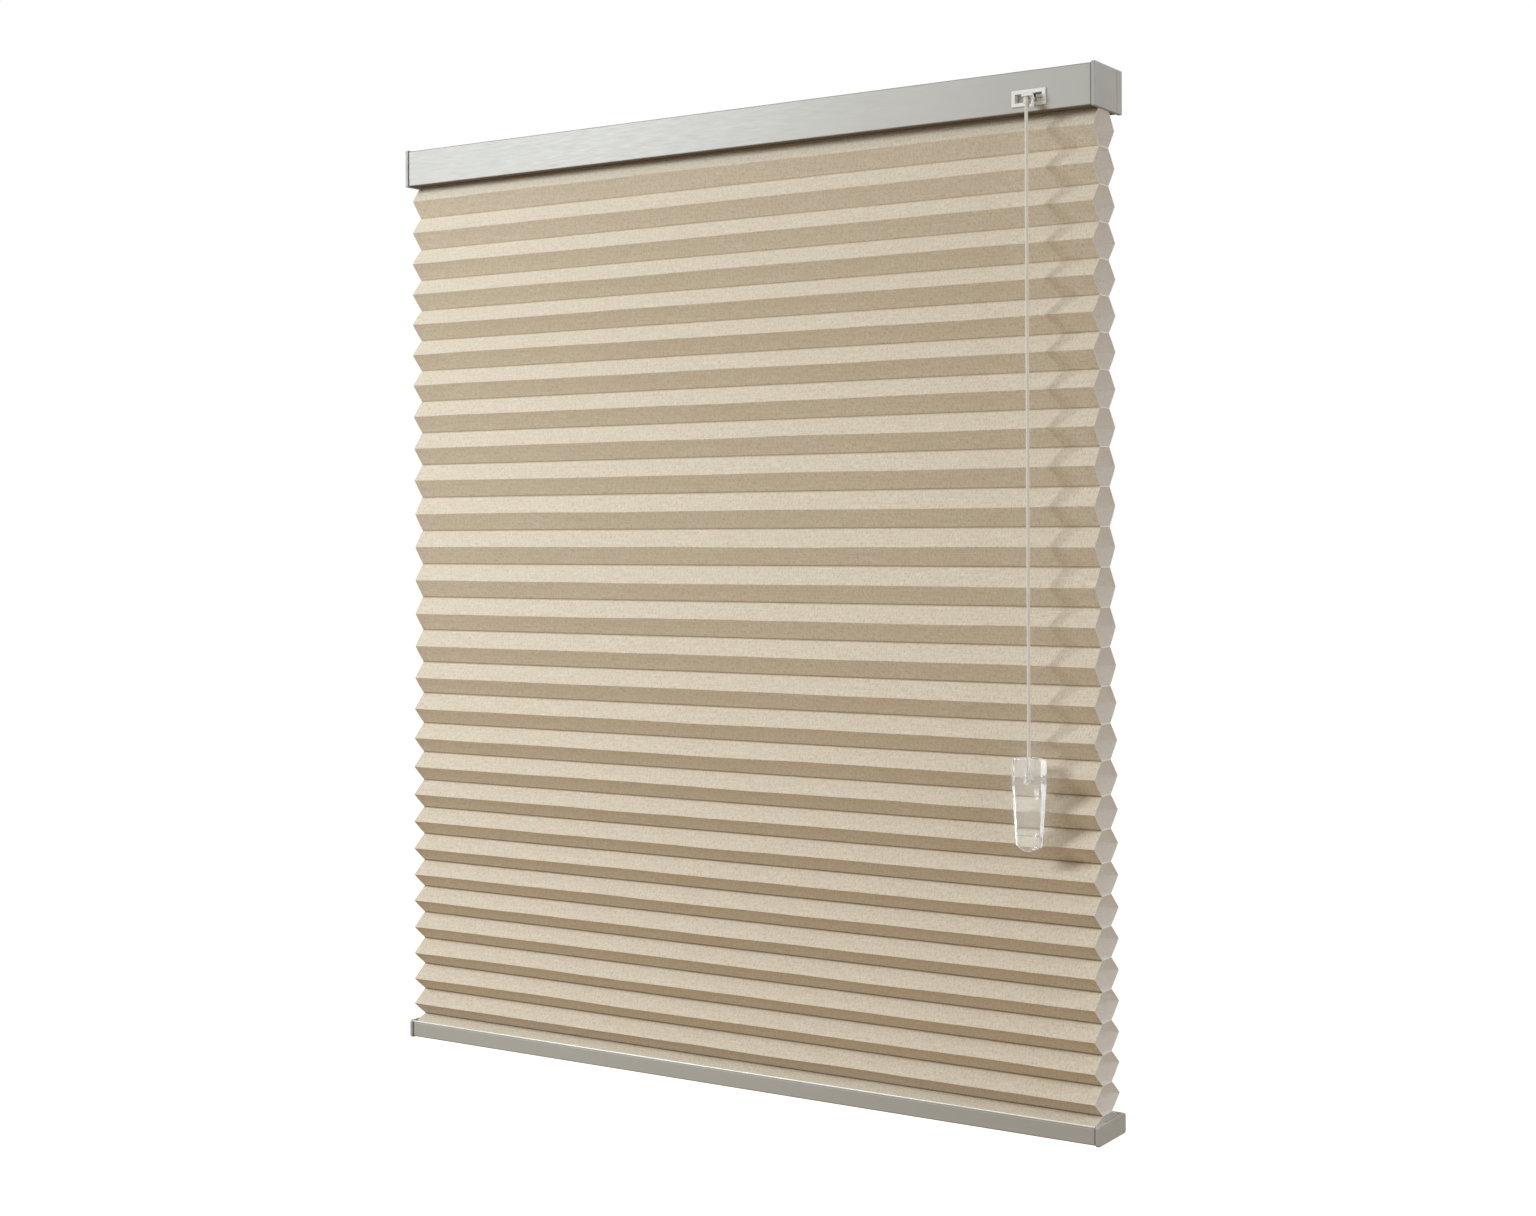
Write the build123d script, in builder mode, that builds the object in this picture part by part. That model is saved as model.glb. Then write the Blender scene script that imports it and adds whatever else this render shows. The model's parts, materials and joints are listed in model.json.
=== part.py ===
"""Single-cell honeycomb blind on a box headrail, raised by one retractable pull cord.

Units are millimetres. X runs along the blind's width, the room side faces -Y and +Z is up.
The origin is the centre of the headrail's flat top face.
"""
import os
from math import cos, pi, radians, sin, sqrt

from build123d import *

# ---------------------------------------------------------------- driving dimensions
overall_width = 800.0            # over the headrail's end caps

headrail_depth = 56.0
headrail_height = 37.0
headrail_wall = 1.5
headrail_slot = 28.0             # open slot along the underside
headrail_top_radius = 1.2
headrail_bottom_radius = 2.4

cap_thickness = 3.5              # outer plate of every end cap
cap_proud = 1.0                  # how far the plate stands past its rail all round
cap_edge_radius = 0.8
cap_plug_length = 9.0
cap_plug_wall = 1.6
cap_plug_clearance = 0.2
cap_groove_from_back = 11.0      # shallow line down the headrail cap's outer face
cap_groove_width = 0.8
cap_groove_depth = 0.5

fabric_side_inset = 5.0          # fabric edge to the outside of the blind, each side
fabric_wall = 0.6
fabric_land = 19.8               # glued strip between two cells, front to back
fabric_panel = 21.5              # one panel from glue line to fold
fabric_cells = 28
fabric_drop = 888.2              # first glued strip to the last one above the bottom rail
pitch_nominal = 33.0             # the cells hang stretched to about this
pitch_loss = 8.2                 # the lowest cells carry less weight and stay this much closer
pitch_loss_starts = 15.0         # cell number where they begin to close up
pitch_loss_spread = 12.0         # over this many cells
pitch_wave = 1.7                 # slow unevenness of the hang
pitch_wave_cells = 14.0
pitch_wave_phase = 8.5

strip_thickness = 1.6            # stiff strips that hold the fabric in the rails
strip_width = 36.0
lift_cord_radius = 0.7
lift_cord_from_end = 150.0       # each lift cord to the outside of the blind
lift_cord_hole_radius = 2.0

rail_depth = 56.0                # bottom rail
rail_height = 16.2
rail_wall = 1.4
rail_lip = 2.8
rail_radius = 2.4
rail_bottom_radius = 1.0
last_panel_drop = 6.2            # from the last glue line down to the fold inside the rail
last_panel_reach = 24.8          # how far forward and back that fold lies
last_land_drop = 12.5
ballast_width = 20.0
ballast_thickness = 5.0
ballast_end_gap = 40.0
stop_radius = 3.0
fold_below_rail_top = 0.5        # the last fold lies just inside the rail's lips

shaft_across_flats = 6.0         # hexagonal lift shaft
shaft_clearance = 0.1            # flat to bore
shaft_passage = 1.2              # round hole around the shaft, past its flats
shaft_y = 10.4
shaft_z = -15.5
spool_core_radius = 9.4
spool_flange_radius = 12.0
spool_flange = 1.5
spool_length = 24.0
journal_radius = 5.0
journal_length = 4.4
journal_clearance = 0.05
cradle_wall = 3.0
cradle_base = 2.0
cradle_width = 46.0
cradle_upright_width = 20.0
bearing_wall = 2.4               # material of a cradle upright above its bearing
float_clearance = 0.2            # pieces that sit beside one another in the headrail
axial_play = 0.4                 # a turning piece to its neighbour along the shaft

clutch_radius = 10.0
clutch_length = 14.0
clutch_wall = 2.0
clutch_clearance = 0.6
clutch_notches = 6
clutch_notch_radius = 1.2

pull_cord_diameter = 3.4
pull_cord_from_end = 61.8        # where the pull cord hangs, from the blind's right end
winding_core_radius = 7.3
winding_length = 24.0
retractor_flange = 1.5
retractor_flange_radius = 12.6
retractor_axle_radius = 2.0
retractor_wall = 1.8
retractor_front_gap = 2.0        # spool flange to the front of its housing
retractor_back_gap = 1.0
retractor_above_axle = 8.0       # how high the housing's side walls stand
spring_inner_radius = 5.0
spring_outer_radius = 12.4
spring_width = 7.0
cord_port_width = 27.0
cord_port_height = 6.0

bezel_shift = 2.1                # bezel centre left of the pull cord
bezel_drop = 0.2                 # bezel centre below the cord's level run
bezel_width = 33.4
bezel_height = 14.8
bezel_proud = 1.5
bezel_border = 3.4
bezel_radius = 0.8
bezel_wall = 1.4                 # of the pocket that passes through the headrail's wall
bezel_pocket_depth = 8.0
bezel_pocket_floor = 1.2
bezel_fit = 0.3                  # pocket to the window in the headrail
cord_slot_width = 6.4

roller_radius = 2.6
roller_ahead = 5.5               # roller axis in front of the headrail's face
roller_length = 4.2
pin_radius = 0.9
pin_clearance = 0.05
pin_head_radius = 1.44
cheek_thickness = 1.4
cheek_radius = 2.2
cheek_gap = 0.3                  # turning pieces to the cheeks beside them
hood_gap = 0.7                   # over the pull cord
hood_thickness = 1.1
hood_front_angle = 28.0          # degrees up from straight ahead
hood_back_angle = 102.0
lever_arm = 1.8
lever_arm_front_angle = 36.0     # where the arm meets the hood
knob_radius = 2.0
knob_reach = 4.6
knob_angle = -52.0               # degrees, below straight ahead
knob_offset = 1.6
knob_neck_half_angle = 16.0
knob_neck_front_angle = 25.0     # where the knob's neck leaves the hub
knob_neck_back_angle = -140.0

handle_top_z = -608.2
handle_height = 83.4
handle_top_width = 29.0
handle_bottom_width = 23.0
handle_top_thickness = 14.6
handle_neck_thickness = 13.0
handle_bottom_thickness = 9.0
handle_head = 27.0
waist_above = 1.0                # the slope into the waist starts this far above it
waist_below = 2.0
handle_shoulder_radius = 5.0
handle_toe_sagitta = 5.0
handle_edge_radius = 1.6
handle_bore_clearance = 0.5
knot_depth = 19.5
knot_radius = 3.3
knot_neck = 2.6                  # flat where the cord enters the knot, above its centre
knot_pocket_clearance = 0.9
knot_pocket_floor = 3.6

cut_over = 1.0                   # cutters reach this far past what they cut

# ---------------------------------------------------------------- places worked out from them
half_width = overall_width / 2
rail_half_length = half_width - cap_thickness
fabric_width = overall_width - 2 * fabric_side_inset
pull_cord_x = half_width - pull_cord_from_end
bezel_centre_x = pull_cord_x - bezel_shift
lift_cord_x = half_width - lift_cord_from_end
pull_cord_radius = pull_cord_diameter / 2
cord_level_z = shaft_z - winding_core_radius - pull_cord_radius
bezel_centre_z = cord_level_z - bezel_drop

inner_floor_z = -headrail_height + headrail_wall
fabric_top_z = inner_floor_z
strip_top_z = inner_floor_z + strip_thickness
face_y = -headrail_depth / 2

roller_y = face_y - roller_ahead
wrap_radius = roller_radius + pull_cord_radius
roller_z = cord_level_z - wrap_radius
pull_cord_y = roller_y - wrap_radius
hood_inner = wrap_radius + pull_cord_radius + hood_gap
hood_outer = hood_inner + hood_thickness

cradle_half = spool_length / 2 + axial_play
knot_z = handle_top_z - knot_depth
cord_end_z = knot_z + knot_neck


def smooth_step(amount):
    """Ease from 0 to 1."""
    amount = min(max(amount, 0.0), 1.0)
    return amount * amount * (3 - 2 * amount)


def cell_pitches():
    """Heights of the cells from the top down: even, then closing up towards the bottom."""
    raw = []
    for cell in range(1, fabric_cells + 1):
        loss = pitch_loss * smooth_step((cell - pitch_loss_starts) / pitch_loss_spread)
        wave = pitch_wave * sin(2 * pi * (cell - pitch_wave_phase) / pitch_wave_cells)
        raw.append(pitch_nominal - loss + wave)
    return [pitch * fabric_drop / sum(raw) for pitch in raw]


glue_line_z = [fabric_top_z]
for pitch in cell_pitches():
    glue_line_z.append(glue_line_z[-1] - pitch)
fabric_end_z = glue_line_z[-1]

last_fold_z = fabric_end_z - last_panel_drop
last_land_z = fabric_end_z - last_land_drop
rail_top_z = last_fold_z + fold_below_rail_top
rail_bottom_z = rail_top_z - rail_height
rail_middle_z = (rail_top_z + rail_bottom_z) / 2
rail_floor_z = rail_bottom_z + rail_wall
bottom_strip_z = last_land_z - strip_thickness
stop_z = bottom_strip_z - 2 * stop_radius


def export(builder, name):
    """Label a finished sub-part and write its STEP file."""
    builder.part.label = name
    export_step(builder.part, f"parts/{name}.step")


os.makedirs("parts", exist_ok=True)

# ================================================================ headrail
# A satin aluminium box section, open along the middle of its underside, with a
# window near its right end for the cord outlet.
with BuildPart() as headrail:
    with BuildSketch(Plane.YZ.offset(-rail_half_length)) as headrail_section:
        with Locations((0, -headrail_height / 2)):
            Rectangle(headrail_depth, headrail_height)
        upper = headrail_section.vertices().group_by(Axis.Y)[-1]
        lower = headrail_section.vertices().group_by(Axis.Y)[0]
        fillet(upper, headrail_top_radius)
        fillet(lower, headrail_bottom_radius)
        with Locations((0, -headrail_height / 2)):
            Rectangle(
                headrail_depth - 2 * headrail_wall,
                headrail_height - 2 * headrail_wall,
                mode=Mode.SUBTRACT,
            )
        with Locations((0, -headrail_height)):
            Rectangle(headrail_slot, 4 * headrail_wall, mode=Mode.SUBTRACT)
    extrude(amount=2 * rail_half_length)
    pocket_width = bezel_width - 2 * bezel_border + 2 * bezel_wall
    pocket_height = bezel_height - 2 * bezel_border + 2 * bezel_wall
    with Locations((bezel_centre_x, face_y, bezel_centre_z)):
        Box(
            pocket_width + 2 * bezel_fit,
            4 * headrail_wall,
            pocket_height + 2 * bezel_fit,
            mode=Mode.SUBTRACT,
        )
export(headrail, "headrail")


def headrail_cap(side):
    """Grey moulded end plate with a hollow plug inside the rail; side is -1 left, +1 right."""
    plate_y = headrail_depth + 2 * cap_proud
    plate_z = headrail_height + 2 * cap_proud
    plug_y = headrail_depth - 2 * headrail_wall - 2 * cap_plug_clearance
    plug_z = headrail_height - 2 * headrail_wall - 2 * cap_plug_clearance
    with BuildPart() as cap:
        with BuildSketch(Plane.YZ.offset(side * rail_half_length)):
            with Locations((0, -headrail_height / 2)):
                RectangleRounded(plate_y, plate_z, cap_edge_radius)
        extrude(amount=side * cap_thickness)
        outer = cap.faces().sort_by(Axis.X)[-1 if side > 0 else 0]
        chamfer(outer.edges(), cap_edge_radius / 2)
        groove_y = headrail_depth / 2 + cap_proud - cap_groove_from_back
        with Locations((side * half_width, groove_y, -headrail_height / 2)):
            Box(2 * cap_groove_depth, cap_groove_width, 2 * plate_z, mode=Mode.SUBTRACT)
        with BuildSketch(Plane.YZ.offset(side * rail_half_length)):
            with Locations((0, -headrail_height / 2)):
                Rectangle(plug_y, plug_z)
                Rectangle(
                    plug_y - 2 * cap_plug_wall,
                    plug_z - 2 * cap_plug_wall,
                    mode=Mode.SUBTRACT,
                )
            with Locations((0, -headrail_height + headrail_wall)):
                Rectangle(strip_width + 2 * cap_plug_clearance, 8 * cap_plug_wall, mode=Mode.SUBTRACT)
        extrude(amount=-side * cap_plug_length)
    return cap


for side, word in ((-1, "left"), (1, "right")):
    cap = headrail_cap(side)
    export(cap, f"headrail_cap_{word}")

# The stiff strip that holds the top of the fabric lies on the lips of the slot.
with BuildPart() as fabric_top_strip:
    with Locations((0, 0, inner_floor_z + strip_thickness / 2)):
        Box(fabric_width, strip_width, strip_thickness)
    with Locations((-lift_cord_x, 0, strip_top_z), (lift_cord_x, 0, strip_top_z)):
        Cylinder(lift_cord_hole_radius, 4 * strip_thickness, mode=Mode.SUBTRACT)
export(fabric_top_strip, "fabric_top_strip")

# ================================================================ lift shaft and its spools
# A hexagonal shaft turns two cord spools in cradles; its right end carries the clutch drum.
cradle_x = {"left": -lift_cord_x, "right": lift_cord_x}
clutch_x = pull_cord_x - winding_length / 2 - retractor_flange - axial_play
clutch_x = clutch_x - retractor_wall - clutch_length - 2 * clutch_wall - 2 * clutch_clearance
drum_x = clutch_x + clutch_wall + clutch_clearance
shaft_left = -lift_cord_x - cradle_half - cradle_wall - journal_length
shaft_right = drum_x + clutch_length

with BuildPart() as lift_shaft:
    with BuildSketch(Plane.YZ.offset(shaft_left)):
        with Locations((shaft_y, shaft_z)):
            RegularPolygon(shaft_across_flats / 2, 6, major_radius=False)
    extrude(amount=shaft_right - shaft_left)
export(lift_shaft, "lift_shaft")


def lift_spool(centre_x):
    """Cord spool with a journal at each end and a hexagonal bore."""
    half = spool_length / 2
    end = half + axial_play + cradle_wall + axial_play
    with BuildPart() as spool:
        with BuildSketch(Plane.YZ.offset(centre_x - end)):
            with Locations((shaft_y, shaft_z)):
                Circle(journal_radius)
        extrude(amount=2 * end)
        with BuildSketch(Plane.YZ.offset(centre_x - half)):
            with Locations((shaft_y, shaft_z)):
                Circle(spool_core_radius)
        extrude(amount=spool_length)
        with BuildSketch(Plane.YZ.offset(centre_x - half)):
            with Locations((shaft_y, shaft_z)):
                Circle(spool_flange_radius)
        extrude(amount=spool_flange)
        with BuildSketch(Plane.YZ.offset(centre_x + half)):
            with Locations((shaft_y, shaft_z)):
                Circle(spool_flange_radius)
        extrude(amount=-spool_flange)
        with BuildSketch(Plane.YZ.offset(centre_x - end)):
            with Locations((shaft_y, shaft_z)):
                RegularPolygon(shaft_across_flats / 2 + shaft_clearance, 6, major_radius=False)
        extrude(amount=2 * end, mode=Mode.SUBTRACT)
    return spool


def spool_cradle(centre_x):
    """Moulded saddle: a base on the fabric strip and two uprights with bearings."""
    base_z = strip_top_z + float_clearance
    length = 2 * (cradle_half + cradle_wall)
    top_z = shaft_z + journal_radius + bearing_wall
    bearing = journal_radius + journal_clearance
    with BuildPart() as cradle:
        with Locations((centre_x, 0, base_z + cradle_base / 2)):
            Box(length, cradle_width, cradle_base)
        with Locations((centre_x, 0, base_z)):
            Cylinder(lift_cord_hole_radius, 4 * cradle_base, mode=Mode.SUBTRACT)
        for start_x in (centre_x - cradle_half - cradle_wall, centre_x + cradle_half):
            with Locations((start_x + cradle_wall / 2, shaft_y, (base_z + top_z) / 2)):
                Box(cradle_wall, cradle_upright_width, top_z - base_z)
        with BuildSketch(Plane.YZ.offset(centre_x - length)):
            with Locations((shaft_y, shaft_z)):
                Circle(bearing)
        extrude(amount=2 * length, mode=Mode.SUBTRACT)
    return cradle


for word, centre_x in cradle_x.items():
    spool = lift_spool(centre_x)
    export(spool, f"lift_spool_{word}")
    cradle = spool_cradle(centre_x)
    export(cradle, f"spool_cradle_{word}")

with BuildPart() as clutch_drum:
    with BuildSketch(Plane.YZ.offset(drum_x)):
        with Locations((shaft_y, shaft_z)):
            Circle(clutch_radius)
            RegularPolygon(
                shaft_across_flats / 2 + shaft_clearance, 6, major_radius=False, mode=Mode.SUBTRACT
            )
    extrude(amount=clutch_length)
    with BuildSketch(Plane.YZ.offset(drum_x)):
        with Locations((shaft_y, shaft_z)):
            with PolarLocations(clutch_radius, clutch_notches):
                Circle(clutch_notch_radius)
    extrude(amount=clutch_length, mode=Mode.SUBTRACT)
export(clutch_drum, "clutch_drum")

with BuildPart() as clutch_housing:
    housing_inner = clutch_radius + clutch_clearance
    housing_length = clutch_length + 2 * clutch_clearance + 2 * clutch_wall
    with BuildSketch(Plane.YZ.offset(clutch_x)):
        with Locations((shaft_y, shaft_z)):
            Circle(housing_inner + clutch_wall)
    extrude(amount=housing_length)
    with BuildSketch(Plane.YZ.offset(clutch_x + clutch_wall)):
        with Locations((shaft_y, shaft_z)):
            Circle(housing_inner)
    extrude(amount=housing_length - 2 * clutch_wall, mode=Mode.SUBTRACT)
    with BuildSketch(Plane.YZ.offset(clutch_x - clutch_wall)):
        with Locations((shaft_y, shaft_z)):
            Circle(shaft_across_flats / 2 + shaft_passage)
    extrude(amount=3 * clutch_wall, mode=Mode.SUBTRACT)
    foot_z = strip_top_z + float_clearance
    with Locations((clutch_x + housing_length / 2, shaft_y, foot_z + cradle_base / 2)):
        Box(housing_length, cradle_upright_width, cradle_base)
    with Locations((clutch_x + housing_length / 2, shaft_y, (foot_z + shaft_z - housing_inner) / 2)):
        Box(housing_length, clutch_wall, shaft_z - housing_inner - foot_z)
export(clutch_housing, "clutch_housing")

# ================================================================ cord retractor
# A sprung spool behind the outlet takes the pull cord back in after every pull.
spool_half = winding_length / 2 + retractor_flange
retractor_left = pull_cord_x - spool_half - axial_play - retractor_wall
retractor_right = pull_cord_x + spool_half + axial_play
spring_x = retractor_right + retractor_wall + axial_play
cover_x = spring_x + spring_width + axial_play
axle_end_x = cover_x + retractor_wall
housing_front_y = shaft_y - retractor_flange_radius - retractor_front_gap
housing_back_y = shaft_y + retractor_flange_radius + retractor_back_gap
housing_base_z = strip_top_z + float_clearance
housing_top_z = shaft_z + retractor_above_axle

with BuildPart() as retractor_axle:
    with BuildSketch(Plane.YZ.offset(retractor_left)):
        with Locations((shaft_y, shaft_z)):
            Circle(retractor_axle_radius)
    extrude(amount=axle_end_x - retractor_left)
export(retractor_axle, "retractor_axle")

with BuildPart() as retractor_housing:
    housing_middle_y = (housing_front_y + housing_back_y) / 2
    housing_span_y = housing_back_y - housing_front_y
    with Locations(((retractor_left + cover_x) / 2, housing_middle_y, housing_base_z + cradle_base / 2)):
        Box(cover_x - retractor_left, housing_span_y, cradle_base)
    wall_height = housing_top_z - housing_base_z
    for start_x in (retractor_left, retractor_right):
        with Locations((start_x + retractor_wall / 2, housing_middle_y, housing_base_z + wall_height / 2)):
            Box(retractor_wall, housing_span_y, wall_height)
    with BuildSketch(Plane.YZ.offset(retractor_left - cut_over)):
        with Locations((shaft_y, shaft_z)):
            Circle(retractor_axle_radius)
    extrude(amount=axle_end_x, mode=Mode.SUBTRACT)
    front_middle = (housing_front_y, (housing_base_z + bezel_centre_z - cord_port_height / 2) / 2)
    front_height = bezel_centre_z - cord_port_height / 2 - housing_base_z
    with Locations((pull_cord_x, front_middle[0] + retractor_wall / 2, front_middle[1])):
        Box(cord_port_width, retractor_wall, front_height)
export(retractor_housing, "retractor_housing")

with BuildPart() as retractor_cover:
    with Locations((cover_x + retractor_wall / 2, housing_middle_y, housing_base_z + wall_height / 2)):
        Box(retractor_wall, housing_span_y, wall_height)
    with BuildSketch(Plane.YZ.offset(cover_x - cut_over)):
        with Locations((shaft_y, shaft_z)):
            Circle(retractor_axle_radius)
    extrude(amount=retractor_wall + 2 * cut_over, mode=Mode.SUBTRACT)
export(retractor_cover, "retractor_cover")

with BuildPart() as retractor_spring:
    with BuildSketch(Plane.YZ.offset(spring_x)):
        with Locations((shaft_y, shaft_z)):
            Circle(spring_outer_radius)
            Circle(spring_inner_radius, mode=Mode.SUBTRACT)
    extrude(amount=spring_width)
export(retractor_spring, "retractor_spring")

with BuildPart() as retractor_spool:
    with BuildSketch(Plane.YZ.offset(pull_cord_x - spool_half)):
        with Locations((shaft_y, shaft_z)):
            Circle(winding_core_radius)
    extrude(amount=2 * spool_half)
    for start_x in (pull_cord_x - spool_half, pull_cord_x + winding_length / 2):
        with BuildSketch(Plane.YZ.offset(start_x)):
            with Locations((shaft_y, shaft_z)):
                Circle(retractor_flange_radius)
        extrude(amount=retractor_flange)
    with BuildSketch(Plane.YZ.offset(pull_cord_x - spool_half)):
        with Locations((shaft_y, shaft_z)):
            Circle(retractor_axle_radius + journal_clearance)
    extrude(amount=2 * spool_half, mode=Mode.SUBTRACT)
export(retractor_spool, "retractor_spool")

with BuildPart() as pull_cord_winding:
    with BuildSketch(Plane.YZ.offset(pull_cord_x - winding_length / 2)):
        with Locations((shaft_y, shaft_z)):
            Circle(winding_core_radius + pull_cord_diameter)
            Circle(winding_core_radius, mode=Mode.SUBTRACT)
    extrude(amount=winding_length)
export(pull_cord_winding, "pull_cord_winding")

# ================================================================ cord outlet
# A framed pocket in the headrail's face with a small roller and a swivelling shift lever.
left_cheek_x = pull_cord_x - roller_length / 2 - cheek_gap - cheek_thickness
right_cheek_x = pull_cord_x + roller_length / 2 + cheek_gap
lever_x = right_cheek_x + cheek_thickness + cheek_gap
pin_end_x = lever_x + lever_arm + cheek_gap

with BuildPart() as outlet_bezel:
    with BuildSketch(Plane.XZ.offset(-face_y)):
        with Locations((bezel_centre_x, bezel_centre_z)):
            RectangleRounded(bezel_width, bezel_height, bezel_radius)
    extrude(amount=bezel_proud)
    front = outlet_bezel.faces().sort_by(Axis.Y)[0]
    chamfer(front.edges(), bezel_proud / 3)
    with BuildSketch(Plane.XZ.offset(-face_y)):
        with Locations((bezel_centre_x, bezel_centre_z)):
            Rectangle(pocket_width, pocket_height)
    extrude(amount=-bezel_pocket_depth)
    with BuildSketch(Plane.XZ.offset(-face_y + bezel_proud + cut_over)):
        with Locations((bezel_centre_x, bezel_centre_z)):
            Rectangle(bezel_width - 2 * bezel_border, bezel_height - 2 * bezel_border)
    pocket_cut = bezel_pocket_depth - bezel_pocket_floor + bezel_proud + cut_over
    extrude(amount=-pocket_cut, mode=Mode.SUBTRACT)
    with Locations((pull_cord_x, face_y + bezel_pocket_depth, bezel_centre_z)):
        Box(cord_slot_width, 4 * bezel_pocket_floor, bezel_height - 2 * bezel_border, mode=Mode.SUBTRACT)
    for cheek_x in (left_cheek_x, right_cheek_x):
        with BuildSketch(Plane.YZ.offset(cheek_x)):
            with Locations((roller_y, roller_z)):
                Circle(cheek_radius)
            with Locations(((roller_y + face_y) / 2, roller_z - cheek_radius / 2)):
                Rectangle(face_y - roller_y, cheek_radius)
            with Locations((roller_y, roller_z)):
                Circle(pin_radius, mode=Mode.SUBTRACT)
        extrude(amount=cheek_thickness)
export(outlet_bezel, "outlet_bezel")

with BuildPart() as outlet_pin:
    with BuildSketch(Plane.YZ.offset(left_cheek_x)):
        with Locations((roller_y, roller_z)):
            Circle(pin_radius)
    extrude(amount=pin_end_x - left_cheek_x)
    with BuildSketch(Plane.YZ.offset(pin_end_x)):
        with Locations((roller_y, roller_z)):
            Circle(pin_head_radius)
    extrude(amount=pin_radius)
export(outlet_pin, "outlet_pin")

with BuildPart() as outlet_roller:
    with BuildSketch(Plane.YZ.offset(pull_cord_x - roller_length / 2)):
        with Locations((roller_y, roller_z)):
            Circle(roller_radius)
            Circle(pin_radius + pin_clearance, mode=Mode.SUBTRACT)
    extrude(amount=roller_length)
export(outlet_roller, "outlet_roller")


def around_roller(radius, angle):
    """Point on a circle about the roller: 0 degrees is straight ahead, 90 is up."""
    turn = radians(angle)
    return (roller_y - radius * cos(turn), roller_z + radius * sin(turn))


with BuildPart() as shift_lever:
    hood_left = left_cheek_x
    hood_middle = (hood_front_angle + hood_back_angle) / 2
    with BuildSketch(Plane.YZ.offset(hood_left)):
        with BuildLine():
            outer_arc = ThreePointArc(
                around_roller(hood_outer, hood_front_angle),
                around_roller(hood_outer, hood_middle),
                around_roller(hood_outer, hood_back_angle),
            )
            inner_arc = ThreePointArc(
                around_roller(hood_inner, hood_back_angle),
                around_roller(hood_inner, hood_middle),
                around_roller(hood_inner, hood_front_angle),
            )
            Line(outer_arc @ 1, inner_arc @ 0)
            Line(inner_arc @ 1, outer_arc @ 0)
        make_face()
    extrude(amount=lever_x + lever_arm - hood_left)
    arm_reach = (hood_inner + hood_outer) / 2
    with BuildSketch(Plane.YZ.offset(lever_x)):
        with Locations((roller_y, roller_z)):
            Circle(cheek_radius)
        with BuildLine():
            Polyline(
                around_roller(arm_reach, lever_arm_front_angle),
                around_roller(arm_reach, hood_middle),
                around_roller(cheek_radius, 180),
                around_roller(cheek_radius, 0),
                close=True,
            )
        make_face()
        with BuildLine():
            Polyline(
                around_roller(cheek_radius, knob_neck_front_angle),
                around_roller(knob_reach, knob_angle + knob_neck_half_angle),
                around_roller(knob_reach, knob_angle - knob_neck_half_angle),
                around_roller(cheek_radius, knob_neck_back_angle),
                close=True,
            )
        make_face()
        with Locations((roller_y, roller_z)):
            Circle(pin_radius + pin_clearance, mode=Mode.SUBTRACT)
    extrude(amount=lever_arm)
    knob_y, knob_z = around_roller(knob_reach + knob_offset, knob_angle)
    with Locations((lever_x + lever_arm / 2, knob_y, knob_z)):
        Sphere(knob_radius)
export(shift_lever, "shift_lever")

# ================================================================ pull cord, knot and handle
# The cord leaves the winding level, turns down over the roller and hangs into the handle.
winding_outer = winding_core_radius + pull_cord_diameter
clear_of_winding = sqrt(winding_outer**2 - (winding_core_radius) ** 2) + 2 * float_clearance
cord_start_y = shaft_y - clear_of_winding

with BuildPart() as pull_cord:
    with BuildLine() as cord_path:
        level = Line((pull_cord_x, cord_start_y, cord_level_z), (pull_cord_x, roller_y, cord_level_z))
        bend = ThreePointArc(
            level @ 1,
            (pull_cord_x, roller_y - wrap_radius * sin(pi / 4), roller_z + wrap_radius * cos(pi / 4)),
            (pull_cord_x, pull_cord_y, roller_z),
        )
        Line(bend @ 1, (pull_cord_x, pull_cord_y, cord_end_z))
    with BuildSketch(Plane(origin=level @ 0, z_dir=(0, -1, 0))):
        Circle(pull_cord_radius)
    sweep(path=cord_path.wires()[0])
export(pull_cord, "pull_cord")

cord_length = sum(edge.length for edge in cord_path.edges())
cord_volume = pi * pull_cord_radius**2 * cord_length
print(f"pull cord: bend radius {wrap_radius:.1f} mm, length {cord_length:.1f} mm")
print(f"pull cord: volume {pull_cord.part.volume:.1f}, section times length {cord_volume:.1f} mm3")

with BuildPart() as pull_cord_knot:
    with Locations((pull_cord_x, pull_cord_y, knot_z)):
        Sphere(knot_radius)
    with Locations((pull_cord_x, pull_cord_y, cord_end_z + knot_radius)):
        Box(4 * knot_radius, 4 * knot_radius, 2 * knot_radius, mode=Mode.SUBTRACT)
export(pull_cord_knot, "pull_cord_knot")

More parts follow.
